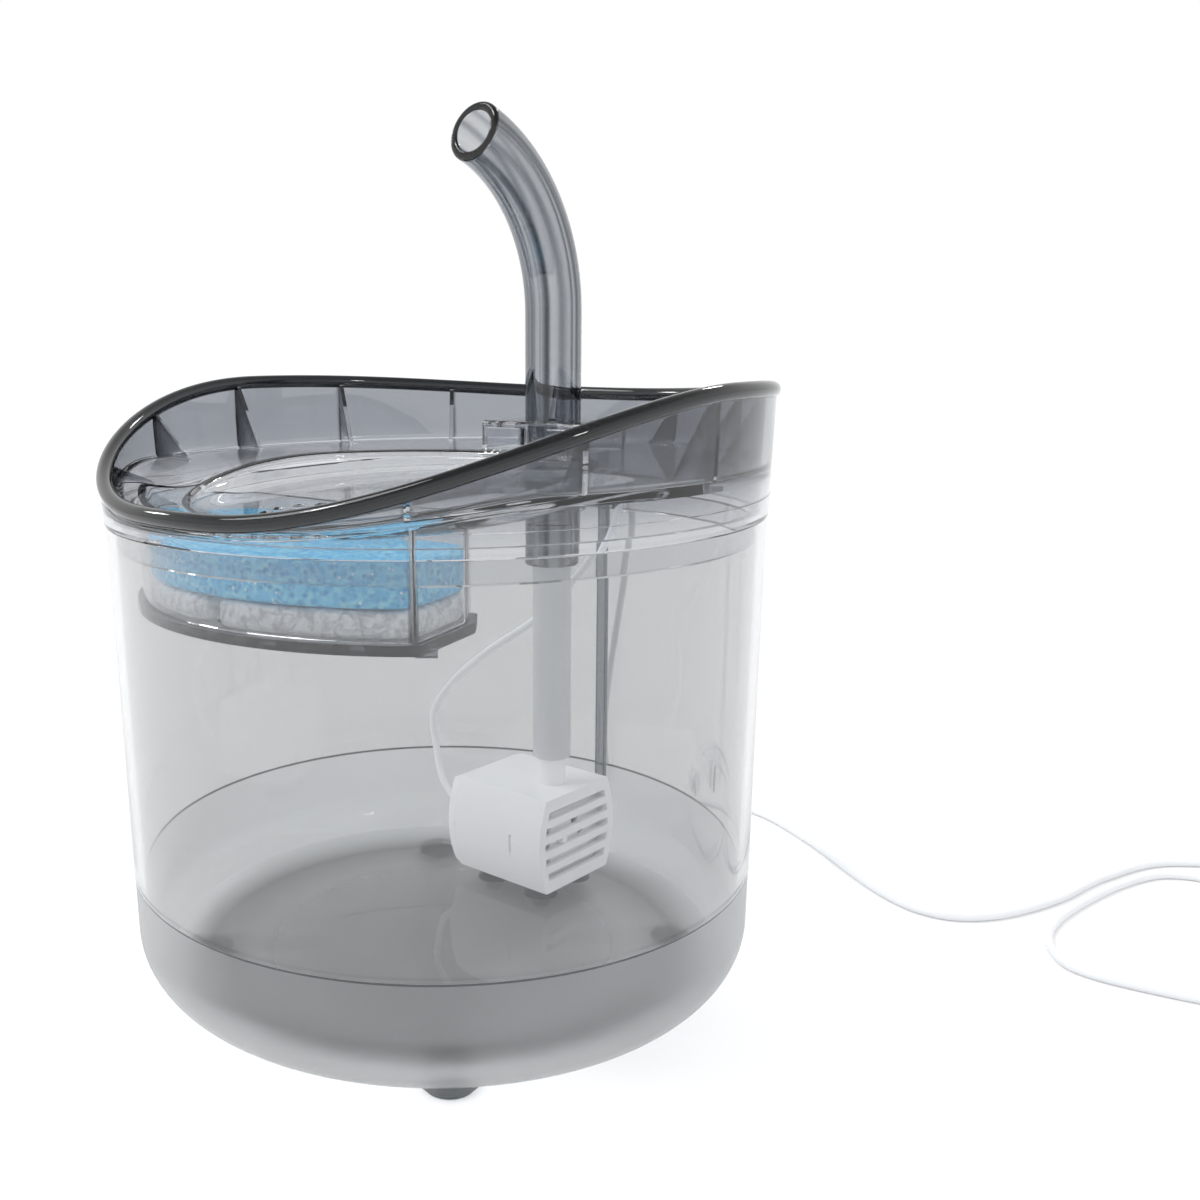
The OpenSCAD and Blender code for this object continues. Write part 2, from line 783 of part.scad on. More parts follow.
module sponge() {
    color("skyblue")
        soft_slab(cotton_top_z, sponge_top_z - cotton_top_z);
}

// Cable guide: a bar that hangs under the deck, behind the cable, against the tank's back
module cable_guide() {
    side_gap = 0.3;
    back_gap = 0.4;
    right = cable_x - notch_w / 2 - side_gap;
    back = spigot_r - spigot_wall - back_gap;
    top = rim_z + deck_back - deck_t;
    head = [2.4, 1.6];
    color([0.25, 0.28, 0.3, 0.6]) {
        translate([right - guide_w, back - guide_t, guide_low_z])
            cube([guide_w, guide_t, top - guide_low_z]);
        translate([right - guide_w - head.x, back - guide_t - head.y, top - head.y])
            cube([guide_w + 2 * head.x, guide_t + head.y, head.y]);
    }
}

// Pump case: a dry room behind for the motor, a closed well for the rotor and a wet room in front
module pump_case() {
    slit = [0.9, 1.1, 5.5];
    slit_x = -1.9;
    color("whitesmoke")
        difference() {
            union() {
                difference() {
                    along_x(case_back, case_front - case_back)
                        pump_section(0);
                    along_x(case_back - over, bulkhead_back - case_back + over)
                        pump_section(pump_wall);
                }
                on_axis(well_low_x, bulkhead_back - well_low_x + over, well_r + well_wall);
                translate([0, tap_back, pump_top_z - pump_wall])
                    cylinder(h = nozzle_len + pump_wall, d = nozzle_d, $fn = 64);
            }
            on_axis(well_back, wet_back - well_back + over, well_r);
            on_axis(well_back - bush_len, bush_len + over, bush_r());
            on_axis(wet_back, case_front - wet_back, volute_r);
            on_axis(seal_x, case_front - seal_x, cover_r + 0.1);
            along_x(front_room_x, case_front - front_room_x + over)
                pump_section(pump_wall);
            translate([0, tap_back, axis_z])
                cylinder(h = pump_h, d = nozzle_bore_d, $fn = 64);
            translate([0, tap_back, axis_z])
                cylinder(h = pump_h / 2 + nozzle_len + over, d = nozzle_bore_d, $fn = 64);
            at_cups()
                translate([0, 0, pump_z - over])
                    cylinder(h = over + cup_stem_h(), r = cup_stem_r(), $fn = 32);
            translate([slit_x, tap_back - (pump_w + slit.y) / 2, axis_z - slit.z])
                cube(slit);
        }
}

function bush_r() = shaft_d / 2 + 1.2;
function cup_stem_r() = 1.6;
function cup_stem_h() = pump_wall * 0.75;

module at_cups() {
    for (place = cup_places)
        translate([place.x, tap_back + place.y, 0])
            children();
}

module pump_back_cap() {
    slice = 0.6;
    taper = 1.2;
    color("white")
        difference() {
            hull() {
                along_x(case_back - slice, slice)
                    pump_section(0);
                along_x(pump_back, slice)
                    pump_section(taper);
            }
            translate([pump_back - over, gland_y, axis_z])
                rotate([0, 90, 0])
                    cylinder(h = cap_t + 2 * over, r = gland_r, $fn = 32);
        }
}

module pump_grille() {
    rim = 1;
    room = 0.2;
    low = axis_z - slot_h / 2;
    color("whitesmoke")
        difference() {
            union() {
                along_x(case_front, grille_t)
                    pump_section(0);
                along_x(case_front - rim_len(), rim_len())
                    difference() {
                        pump_section(pump_wall + room);
                        pump_section(pump_wall + room + rim);
                    }
            }
            intersection() {
                along_x(case_front - over, grille_t + 2 * over)
                    pump_section(slot_side);
                for (i = [-2:2])
                    translate([case_front - over, tap_back - pump_w / 2, low + i * slot_pitch])
                        cube([grille_t + 2 * over, pump_w, slot_h]);
            }
        }
}

function rim_len() = 1.1;

// Flow slider: a plate over the inlet, with a stub that reaches through the grille's middle slot
module flow_slider() {
    plate = slider_plate;
    stub = [2.4, 2, slot_h - slider_gap];
    stub_left = 6;
    stub_in = 0.3;
    x = front_room_x + 0.8;
    window_r = 1.6;
    color("white")
        difference() {
            union() {
                translate([x, tap_back - plate.y / 2, axis_z - plate.z / 2])
                    cube(plate);
                translate([x + plate.x / 2, tap_back - stub_left - stub.y / 2, axis_z - stub.z / 2])
                    cube([pump_front - stub_in - x - plate.x / 2, stub.y, stub.z]);
            }
            for (place = [[2, 4], [5, -0.2], [-3.4, -4], [4.2, -4.2]])
                translate([x - over, tap_back + place.x, axis_z + place.y])
                    rotate([0, 90, 0])
                        cylinder(h = plate.x + 2 * over, r = window_r, $fn = 32);
        }
}

module chamber_cover() {
    hub_r = bush_r() + 1.1;
    inlet_r = 6.6;
    arm_w = 1.6;
    color("white")
        difference() {
            union() {
                difference() {
                    on_axis(cover_x, cover_disc_t, cover_r);
                    on_axis(cover_x - over, cover_disc_t + 2 * over, inlet_r);
                }
                on_axis(cover_x, cover_disc_t + 0.6, hub_r);
                for (a = [0:120:240])
                    translate([cover_x, tap_back, axis_z])
                        rotate([a, 0, 0])
                            translate([0, -arm_w / 2, 0])
                                cube([cover_disc_t, arm_w, inlet_r + over]);
            }
            on_axis(cover_x - over, cover_disc_t + over, bush_r());
        }
}

module chamber_seal() {
    color("dimgray")
        difference() {
            on_axis(seal_x, cover_x - seal_x, cover_r);
            on_axis(seal_x - over, cover_x - seal_x + 2 * over, volute_r + 0.2);
        }
}

// Rotor: straight blades and a sleeve that carries the magnet, free to turn on the shaft
module impeller() {
    sleeve_back = magnet_back();
    hub_back = magnet_front();
    blade_x = [-3.6, 2.5];
    blade_t = 1;
    hub_front = 2.8;
    hub_r = sleeve_r() + blade_t;
    color("ivory")
        difference() {
            union() {
                on_axis(sleeve_back, hub_back - sleeve_back + over, sleeve_r());
                on_axis(hub_back, hub_front - hub_back, hub_r);
                for (a = [0:60:300])
                    translate([blade_x[0], tap_back, axis_z])
                        rotate([a, 0, 0])
                            translate([0, -blade_t / 2, 0])
                                cube([blade_x[1] - blade_x[0], blade_t, impeller_d / 2]);
            }
            on_axis(sleeve_back - over, hub_front - sleeve_back + 2 * over, shaft_d / 2 + shaft_gap);
        }
}

function sleeve_r() = shaft_d / 2 + 0.9;
function magnet_back() = well_back + 0.9;
function magnet_front() = wet_back - 0.6;

module rotor_magnet() {
    color("dimgray")
        difference() {
            on_axis(magnet_back(), magnet_front() - magnet_back(), magnet_d / 2);
            on_axis(magnet_back() - over, magnet_front() - magnet_back() + 2 * over, sleeve_r());
        }
}

module impeller_shaft() {
    color("white")
        on_axis(well_back - bush_len, cover_x + cover_disc_t - well_back + bush_len, shaft_d / 2);
}

module shaft_bushes() {
    back_x = well_back - bush_len;
    color("black") {
        difference() {
            on_axis(back_x, bush_len - 0.2, bush_r());
            on_axis(back_x - over, bush_len + 2 * over, shaft_d / 2);
        }
        difference() {
            on_axis(cover_x + 0.2, cover_disc_t - 0.2, bush_r());
            on_axis(cover_x - over, cover_disc_t + 2 * over, shaft_d / 2);
        }
    }
}

// Motor: a ring of laminations with four teeth, a coil on each tooth and a driver board behind
module stator_core() {
    color("slategray")
        difference() {
            union() {
                difference() {
                    on_axis(core_x, core_len, core_r);
                    on_axis(core_x - over, core_len + 2 * over, core_r - core_ring);
                }
                at_teeth()
                    translate([0, -tooth_w / 2, 0])
                        cube([core_len, tooth_w, core_r - 0.5]);
            }
            on_axis(core_x - over, core_len + 2 * over, tooth_low);
        }
}

module at_teeth() {
    for (a = [45:90:315])
        translate([core_x, tap_back, axis_z])
            rotate([a, 0, 0])
                children();
}

module stator_coils() {
    low = tooth_low + 0.6;
    high = core_r - core_ring - 0.8;
    color("peru")
        at_teeth()
            difference() {
                translate([-coil_wire, -tooth_w / 2 - coil_wire, low])
                    cube([core_len + 2 * coil_wire, tooth_w + 2 * coil_wire, high - low]);
                translate([0, -tooth_w / 2, low - over])
                    cube([core_len, tooth_w, high - low + 2 * over]);
            }
}

module driver_board() {
    x = well_low_x - 0.3;
    board = [board_t, board_w, pump_h - 2 * (pump_wall + board_gap)];
    color("seagreen") {
        translate([x - board.x, tap_back - board.y / 2, axis_z - board.z / 2])
            cube(board);
        for (chip = chips)
            translate([x - 0.1, tap_back + chip[0] - chip[2] / 2, axis_z + chip[1] - chip[3] / 2])
                cube([1, chip[2], chip[3]]);
    }
}

// Suction cups: four soft cups whose stems press into the pump's floor
module suction_cups() {
    rim_t = 0.6;
    neck_r = 2.4;
    color([0.9, 0.9, 0.9, 0.7])
        at_cups()
            translate([0, 0, floor_z])
                rotate_extrude($fn = 48)
                    polygon([[cup_d / 2 - rim_t, 0], [cup_d / 2, 0], [neck_r + 0.6, cup_h * 0.4],
                        [neck_r, cup_h], [cup_stem_r(), cup_h], [cup_stem_r(), cup_h + cup_stem_h()],
                        [0, cup_h + cup_stem_h()], [0, cup_h * 0.3], [neck_r, cup_h * 0.22]]);
}

module cable_gland() {
    color("white")
        translate([pump_back - gland_len, gland_y, axis_z])
            rotate([0, 90, 0])
                cylinder(h = gland_len + cap_t, r = gland_r, $fn = 32);
}

module pump_cable() {
    color("white")
        skin(cable_rings(smooth(cable_route, 2)));
}

// Spare cable, wound into a round coil that a tie holds
module cable_coil() {
    round_r = 2;
    color("white")
        translate([coil_at.x, coil_at.y, coil_z])
            rotate_extrude($fn = 72)
                polygon([[coil_r - coil_half, round_r], [coil_r - coil_half + round_r, 0],
                    [coil_r + coil_half - round_r, 0], [coil_r + coil_half, round_r],
                    [coil_r + coil_half, coil_h - round_r], [coil_r + coil_half - round_r, coil_h],
                    [coil_r - coil_half + round_r, coil_h], [coil_r - coil_half, coil_h - round_r]]);
}

module coil_tie() {
    in_r = coil_r - coil_half - 0.4;
    out_r = coil_r + coil_half + 0.05;
    color("dimgray")
        translate([coil_at.x, coil_at.y, coil_z])
            rotate(tie_angle)
                difference() {
                    translate([in_r - tie_t, -tie_w / 2, -tie_t])
                        cube([out_r - in_r + 2 * tie_t, tie_w, coil_h + 2 * tie_t]);
                    translate([in_r, -tie_w, 0])
                        cube([out_r - in_r, 2 * tie_w, coil_h]);
                }
}

module cable_end() {
    color("white")
        skin(cable_rings(smooth(cable_end_route, 3)));
}

module usb_plug_body() {
    tongue = [shell_size.x - 2 * shell_wall - 0.4, shell_size.y - 2, 1.7];
    tongue_top = (plug_size.z + shell_size.z) / 2 - shell_wall - 0.1;
    color("white") {
        translate([plug_at.x - plug_size.x / 2, plug_at.y - plug_size.y, 0])
            cube(plug_size);
        translate([plug_at.x, plug_at.y + relief_len, plug_size.z / 2])
            rotate([90, 0, 0])
                cylinder(h = relief_len + over, r = relief_r, $fn = 32);
        translate([plug_at.x - tongue.x / 2, plug_at.y - plug_size.y - tongue.y, tongue_top - tongue.z])
            cube([tongue.x, tongue.y + over, tongue.z]);
    }
}

module usb_shell() {
    color("silver")
        translate([plug_at.x, plug_at.y - plug_size.y - shell_size.y / 2, plug_size.z / 2])
            difference() {
                cube(shell_size, center = true);
                cube([shell_size.x - 2 * shell_wall, 2 * shell_size.y, shell_size.z - 2 * shell_wall],
                    center = true);
            }
}

tank();
tank_feet();
lid();
faucet();
faucet_seal();
riser_tube();
filter_cover();
cotton_left();
cotton_right();
sponge();
cable_guide();
pump_case();
pump_back_cap();
pump_grille();
flow_slider();
chamber_cover();
chamber_seal();
impeller();
rotor_magnet();
impeller_shaft();
shaft_bushes();
stator_core();
stator_coils();
driver_board();
suction_cups();
cable_gland();
pump_cable();
cable_coil();
coil_tie();
cable_end();
usb_plug_body();
usb_shell();
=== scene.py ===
"""Pet water fountain: a clear tank, a smoky lid with a drinking bowl, a curved tap and a small pump.

The table is z = 0, the tap stands at +Y and the drinking side is -Y. Names that end in _mm hold millimetres,
and every mesh is worked out in millimetres and written in metres.
"""

import json
import math

import bmesh
import bpy
import numpy as np
from mathutils import Matrix, Vector

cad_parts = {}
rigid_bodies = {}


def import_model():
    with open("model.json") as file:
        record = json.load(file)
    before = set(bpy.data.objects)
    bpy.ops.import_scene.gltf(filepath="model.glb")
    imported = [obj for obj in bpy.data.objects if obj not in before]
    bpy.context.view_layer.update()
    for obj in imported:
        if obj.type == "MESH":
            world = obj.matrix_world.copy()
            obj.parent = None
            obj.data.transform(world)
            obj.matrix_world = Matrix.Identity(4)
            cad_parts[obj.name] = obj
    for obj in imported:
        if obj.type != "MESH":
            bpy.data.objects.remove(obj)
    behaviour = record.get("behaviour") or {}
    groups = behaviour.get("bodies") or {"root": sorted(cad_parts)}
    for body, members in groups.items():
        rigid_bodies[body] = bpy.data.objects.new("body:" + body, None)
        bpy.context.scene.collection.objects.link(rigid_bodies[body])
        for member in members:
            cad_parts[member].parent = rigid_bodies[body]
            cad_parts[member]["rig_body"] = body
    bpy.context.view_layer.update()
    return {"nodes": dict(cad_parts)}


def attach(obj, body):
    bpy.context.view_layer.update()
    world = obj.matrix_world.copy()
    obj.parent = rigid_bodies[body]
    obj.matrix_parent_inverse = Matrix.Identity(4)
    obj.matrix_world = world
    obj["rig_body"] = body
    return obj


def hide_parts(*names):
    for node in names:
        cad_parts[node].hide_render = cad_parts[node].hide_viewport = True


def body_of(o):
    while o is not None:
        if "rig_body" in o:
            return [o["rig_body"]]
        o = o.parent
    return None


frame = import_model()
nodes = frame["nodes"]
scene = bpy.context.scene


# Camera: it stands to the right of the drinking side, a little above the lid, and looks slightly down.
# The object stands left of the picture's middle, which the shift gives.
camera_at = Vector((0.2437, -0.2524, 0.1776))
camera_turn, camera_pitch, camera_roll = math.radians(44.06), 0.2, -0.016

camera_data = bpy.data.cameras.new("camera")
camera_data.sensor_width = 36
camera_data.lens = 38.62
camera_data.shift_x = 0.1367
camera_data.clip_start = 0.01
ahead = Vector((-math.sin(camera_turn) * math.cos(camera_pitch),
                math.cos(camera_turn) * math.cos(camera_pitch), -math.sin(camera_pitch)))
level_right = ahead.cross(Vector((0, 0, 1))).normalized()
level_up = level_right.cross(ahead)
right = level_right * math.cos(camera_roll) + level_up * math.sin(camera_roll)
up = level_up * math.cos(camera_roll) - level_right * math.sin(camera_roll)
camera = bpy.data.objects.new("camera", camera_data)
camera.matrix_world = Matrix.Translation(camera_at) @ Matrix((right, up, -ahead)).transposed().to_4x4()
scene.collection.objects.link(camera)
scene.camera = camera
scene.view_settings.view_transform = "Standard"
scene.cycles.max_bounces = 32
scene.cycles.transmission_bounces = 32
scene.cycles.diffuse_bounces = 6
scene.cycles.glossy_bounces = 8


# Tank: one clear moulding of SAN, a hard glassy plastic. Its sides are polished. The bottom and its round
# edge are frosted outside, which blurs what stands behind them. Four bosses below hold the feet.
mm = 0.001
rim_mm = 132.5
tank_r_mm = 88
tank_draft = 0.0153
tank_wall_mm = 2.2
floor_low_mm, floor_top_mm = 2.5, 6
corner_mm = 18
frost_top_mm, frost_step_mm = 36.2, 0.25
half_up_mm = 85
foot_r_mm = 68.04
boss_r_mm, boss_low_mm = 7.8, 1.5
pad_r_mm, pad_top_mm = 6.5, 2.2
notch_left_mm, notch_right_mm, notch_h_mm = -1.3, 2.9, 7


def colour(hex_code):
    """Turns an sRGB hex colour such as 8a9096 into linear light."""
    srgb = np.array([int(hex_code[i:i + 2], 16) for i in (0, 2, 4)]) / 255
    linear = np.where(srgb <= 0.04045, srgb / 12.92, ((srgb + 0.055) / 1.055) ** 2.4)
    return (*linear.tolist(), 1.0)


def node(material, kind, inputs=None, **settings):
    """Adds a node to a material, with its own settings and its sockets' values or what feeds them."""
    added = material.node_tree.nodes.new(kind)
    for name, value in settings.items():
        setattr(added, name, value)
    for name, value in (inputs or {}).items():
        if isinstance(value, bpy.types.NodeSocket):
            material.node_tree.links.new(value, added.inputs[name])
        else:
            added.inputs[name].default_value = value
    return added


def ray_is(material, first, *others):
    """1 for the rays of any of these kinds, and 0 for the rest."""
    rays = node(material, "ShaderNodeLightPath").outputs
    found = rays[first]
    for other in others:
        found = node(material, "ShaderNodeMath", {0: found, 1: rays[other]}, operation="MAXIMUM").outputs[0]
    return found


def new_material(name, inputs, absorbs=None, shadow=None):
    """A material with one Principled shader. absorbs is (hex colour, density) for a plastic dyed all
    through, and shadow the hex colour that a clear one gives, at each face, the light that passes it to
    what stands behind."""
    made = bpy.data.materials.new(name)
    made.use_nodes = True
    made.node_tree.nodes.clear()
    surface = node(made, "ShaderNodeBsdfPrincipled", inputs).outputs["BSDF"]
    if shadow:
        passing = node(made, "ShaderNodeBsdfTransparent", {"Color": colour(shadow)})
        lights = ray_is(made, "Is Shadow Ray", "Is Diffuse Ray")
        mixed = node(made, "ShaderNodeMixShader", {"Fac": lights, 1: surface, 2: passing.outputs["BSDF"]})
        surface = mixed.outputs[0]
    out = node(made, "ShaderNodeOutputMaterial", {"Surface": surface})
    if absorbs:
        dye = node(made, "ShaderNodeVolumeAbsorption", {"Color": colour(absorbs[0]), "Density": absorbs[1]})
        made.node_tree.links.new(dye.outputs["Volume"], out.inputs["Volume"])
    return made


def feed(material, socket, source):
    """Links source to a socket of the material's Principled shader."""
    material.node_tree.links.new(source, material.node_tree.nodes["Principled BSDF"].inputs[socket])


def tint(material, tone, first, middle, last, middle_at=0.5):
    """Colours the skin by a tone from 0 to 1, through three colours."""
    ramp = node(material, "ShaderNodeValToRGB", {"Fac": tone})
    stops = ramp.color_ramp.elements
    stops[0].color, stops[1].color = colour(first), colour(last)
    stops.new(middle_at).color = colour(middle)
    feed(material, "Base Color", ramp.outputs["Color"])


def bump(material, height, distance_mm):
    """Gives the skin bumps whose real height is that many millimetres."""
    bumps = node(material, "ShaderNodeBump", {"Height": height, "Distance": distance_mm * mm})
    feed(material, "Normal", bumps.outputs["Normal"])


def placed(name, data):
    """Object at the origin with that mesh or curve."""
    piece = bpy.data.objects.new(name, data)
    scene.collection.objects.link(piece)
    return piece


def shade(piece, smooth_angle):
    """Smooth shading that breaks at edges sharper than the angle in degrees."""
    piece.data.shade_smooth()
    piece.data.set_sharp_from_angle(angle=math.radians(smooth_angle))


def clean(data, merge_m, flatten_deg=None):
    """Merges a mesh's doubles, joins the faces that lie flat to each other, and turns all faces outwards."""
    bm = bmesh.new()
    bm.from_mesh(data)
    bmesh.ops.remove_doubles(bm, verts=bm.verts, dist=merge_m)
    if flatten_deg:
        bmesh.ops.dissolve_limit(bm, angle_limit=math.radians(flatten_deg), verts=bm.verts, edges=bm.edges)
    bmesh.ops.recalc_face_normals(bm, faces=bm.faces)
    bm.to_mesh(data)
    bm.free()


def mesh_piece(name, points, faces, smooth_angle=35):
    """Object at the origin from points in millimetres."""
    data = bpy.data.meshes.new(name)
    data.from_pydata((np.asarray(points) * mm).tolist(), [], [list(f) for f in faces])
    clean(data, 1e-6)
    piece = placed(name, data)
    shade(piece, smooth_angle)
    return piece


def quads(rows, columns, rows_loop=False):
    """Corner numbers of the quads of a grid of points whose columns close into rings."""
    i, j = np.meshgrid(np.arange(rows if rows_loop else rows - 1), np.arange(columns), indexing="ij")
    low, high = i * columns, (i + 1) % rows * columns
    after = (j + 1) % columns
    return np.stack([low + j, low + after, high + after, high + j], -1).reshape(-1, 4)


def rings_piece(name, rings, loop=False, smooth_angle=35):
    """Closed skin through rings of equally many points. Unless they loop, the first and last are points."""
    grid = np.array(rings)
    return mesh_piece(name, grid.reshape(-1, 3), quads(len(grid), grid.shape[1], loop), smooth_angle)


def arc(x, y, r, from_deg, to_deg, steps=10):
    """Points x + r cos a, y + r sin a, with the angle a running from one value to the other."""
    a = np.radians(np.linspace(from_deg, to_deg, steps + 1))
    return np.stack([x + r * np.cos(a), y + r * np.sin(a)], 1)


def turned(name, profile, centre=(0, 0), steps=192, loop=False):
    """Surface of revolution: each profile point (r, z) runs round the vertical axis through centre."""
    a = np.linspace(0, 2 * np.pi, steps, endpoint=False)
    r, z = np.array(profile, float).T
    x = centre[0] + r[:, None] * np.cos(a)
    y = centre[1] + r[:, None] * np.sin(a)
    return rings_piece(name, np.stack([x, y, np.broadcast_to(z[:, None], x.shape)], -1), loop)


def prism(name, near, far):
    """Solid between two flat outlines of equally many points."""
    n = len(near)
    sides = [(i, (i + 1) % n, n + (i + 1) % n, n + i) for i in range(n)]
    return mesh_piece(name, [*near, *far], [tuple(range(n)), tuple(range(n, 2 * n)), *sides])


def block(name, low, high):
    """Box between two corners, for cutting."""
    plan_corners = [(low[0], low[1]), (high[0], low[1]), (high[0], high[1]), (low[0], high[1])]
    return prism(name, *([(x, y, z) for x, y in plan_corners] for z in (low[2], high[2])))


def apply_steps(piece):
    """Makes what the modifiers give the piece's own mesh."""
    bpy.context.view_layer.update()
    shaped = piece.evaluated_get(bpy.context.evaluated_depsgraph_get())
    made = bpy.data.meshes.new_from_object(shaped)
    piece.modifiers.clear()
    old = piece.data
    piece.data = made
    bpy.data.meshes.remove(old)


def combine(piece, tool, operation):
    """Joins tool to piece, or cuts it out of piece, and takes the tool away."""
    step = piece.modifiers.new("combine", "BOOLEAN")
    step.operation = operation
    step.object = tool
    step.solver = "MANIFOLD"
    apply_steps(piece)
    tool_data = tool.data
    bpy.data.objects.remove(tool)
    bpy.data.meshes.remove(tool_data)


def dress(piece, material, body, slot, *replaced):
    """Gives a piece its material and body, and hides the CAD nodes that it stands for. The slot is not used.
    On a mesh the large faces set the normals first, so that flat and straight parts don't bend the light
    beside a small round edge."""
    if piece.type == "MESH":
        step = piece.modifiers.new("normals", "WEIGHTED_NORMAL")
        step.weight = 100
        step.keep_sharp = True
        apply_steps(piece)
    piece.data.materials.clear()
    piece.data.materials.append(material)
    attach(piece, body)
    if replaced:
        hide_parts(*replaced)
    return piece


def tank_wall(z):
    """Radius of the polished wall outside at height z. It leans in by the draft per millimetre down."""
    return tank_r_mm - tank_draft * (rim_mm - z)


inner_corner_mm = corner_mm - tank_wall_mm
soft_mm = 0.35
tank_profile = np.concatenate([
    [[0, floor_low_mm], [30, floor_low_mm], [foot_r_mm, floor_low_mm]],
    arc(foot_r_mm, floor_low_mm + corner_mm, corner_mm, -90, 0, 24)[1:],
    [[tank_wall(frost_top_mm) - frost_step_mm, frost_top_mm - down] for down in (0.5, 0.3, 0.1)],
    [[tank_wall(frost_top_mm + up), frost_top_mm + up]
     for up in (0, 0.15, 0.35, 3, half_up_mm - frost_top_mm)],
    arc(tank_r_mm - soft_mm, rim_mm - soft_mm, soft_mm, 0, 90, 3),
    arc(tank_r_mm - tank_wall_mm + soft_mm, rim_mm - soft_mm, soft_mm, 90, 180, 3),
    [[tank_wall(half_up_mm) - tank_wall_mm, half_up_mm],
     [tank_wall(frost_top_mm) - frost_step_mm - tank_wall_mm, frost_top_mm]],
    arc(foot_r_mm, floor_top_mm + inner_corner_mm, inner_corner_mm, 0, -90, 24),
    [[30, floor_top_mm], [0, floor_top_mm]]])
tank = turned("tank_shell", tank_profile, steps=240)
foot_places = [(foot_r_mm * math.cos(math.radians(a)), foot_r_mm * math.sin(math.radians(a)))
               for a in (45, 135, 225, 315)]
boss_profile = np.concatenate([[[0, boss_low_mm]], arc(boss_r_mm - 0.5, boss_low_mm + 0.5, 0.5, -90, 0, 3),
                               [[boss_r_mm, floor_top_mm - 1], [0, floor_top_mm - 1]]])
pad_room = [[0, 0], [pad_r_mm, 0], [pad_r_mm, pad_top_mm], [0, pad_top_mm]]
for place in foot_places:
    combine(tank, turned("boss", boss_profile, place, 48), "UNION")
    combine(tank, turned("pad_room", pad_room, place, 48), "DIFFERENCE")
combine(tank, block("notch", (notch_left_mm, tank_r_mm - 8, rim_mm - notch_h_mm),
                    (notch_right_mm, tank_r_mm + 4, rim_mm + 2)), "DIFFERENCE")
shade(tank, 30)


def points_mm(piece):
    """X, Y and Z of the mesh's points in millimetres."""
    places = np.empty(len(piece.data.vertices) * 3, np.float32)
    piece.data.vertices.foreach_get("co", places)
    return places.reshape(-1, 3).T / mm


def keep_at_points(piece, name, values):
    """Keeps one number at each point of the mesh, which the material reads by that name."""
    kept = piece.data.attributes.new(name, "FLOAT", "POINT")
    kept.data.foreach_set("value", values.astype(np.float32))


# How the surface looks, kept for the material: 0 is polished, 0.6 the frosted side, 1 the frosted
# underside, which also carries painted shadow, a dark tint for the tank's shadow on the table seen through
# the floor, and 1.5 the step above the frosted side, which catches the light as a thin line.
tank_x, tank_y, tank_z = points_mm(tank)
tank_reach = np.hypot(tank_x, tank_y)
inner_reach = np.interp(tank_z, [floor_top_mm, 10, 14, 20, frost_top_mm], [60, 78.5, 82, 84, 84.6])
outside = (tank_reach > inner_reach + 0.5) | (tank_z < floor_top_mm - 1)
frost_and_shade = np.where(outside & (tank_z < frost_top_mm - 0.05), np.interp(tank_reach, [66, 80], [1.0, 0.6]), 0.0)
frost_and_shade = np.where(outside & (np.abs(tank_z - frost_top_mm + 0.075) < 0.24), 1.5, frost_and_shade)
keep_at_points(tank, "frost_and_shade", frost_and_shade)

# SAN, moulded and polished: as clear as glass, with a grey cast from its thickness. The frosted parts
# spread the light, so that what stands behind looks soft and a little darker, and the frosted underside is
# painted dark as shadow.
san = new_material("clear_san", {"IOR": 1.57}, shadow="fcfcfc")
san_frost_and_shade = node(san, "ShaderNodeAttribute", attribute_name="frost_and_shade").outputs["Fac"]
san_rough = node(san, "ShaderNodeMapRange", {
    "Value": san_frost_and_shade, "From Max": 0.6, "To Min": 0.012, "To Max": 0.34})
feed(san, "Roughness", san_rough.outputs["Result"])
san_clear = node(san, "ShaderNodeMapRange", {
    "Value": san_frost_and_shade, "From Min": 1.0, "From Max": 1.5, "To Min": 1.0, "To Max": 0.15})
feed(san, "Transmission Weight", san_clear.outputs["Result"])
# Painted shadow: the last colour, 4b4e4f, darkens the frosted underside.
tint(san, san_frost_and_shade, "d3d4d4", "cdcfd0", "4b4e4f", 0.6)
dress(tank, san, "base", "clear_plastic", "tank")


# Lid: one moulding of smoky clear polycarbonate. Round wall with a wavy top edge and a bead on it, a spigot
# that plugs into the tank, and a deck that falls towards the drinking side and runs into the bowl.
lid_wall_mm, lid_draft = 2.4, 0.035
lid_r_mm = 88.3
band_h_mm, band_step_mm = 5.5, 0.15
bead_r_mm = 2.1
spigot_r_mm, spigot_in_mm, spigot_low_mm, flange_mm = 85.4, 83.4, -6, 2.2
deck_t_mm, deck_back_mm, deck_front_mm = 2.2, 12.3, 5
fillet_mm = 1.5
bowl_y_mm, bowl_lip_r_mm, bowl_r_mm, bowl_round_mm = -17, 54, 52, 9
bowl_floor_mm, bowl_tilt_deg, lip_drop_mm = 5.3, 3.3, 1.5


def ease(value, start, end, first, last):
    """Goes from first at start to last at end along half a cosine wave, and stays level outside."""
    t = np.clip((value - start) / (end - start), 0, 1)
    return first + (last - first) * (1 - np.cos(np.pi * t)) / 2


def edge_h(angle):
    """Height of the lid's top edge over the rim. The angle in degrees is 0 at the front, 180 at the tap."""
    return np.where(angle < 95, ease(angle, 8, 95, 8.4, 34.5), ease(angle, 95, 180, 34.5, 29))


def deck_edge_h(y):
    """Height of the deck where it meets the wall: it falls towards the front."""
    return ease(y, -42, -88, deck_back_mm, deck_front_mm)


def bowl_lip_h(y):
    """Height of the deck where it meets the bowl: it falls from the back to the front."""
    return ease(y, 6, -86, deck_back_mm, 4)


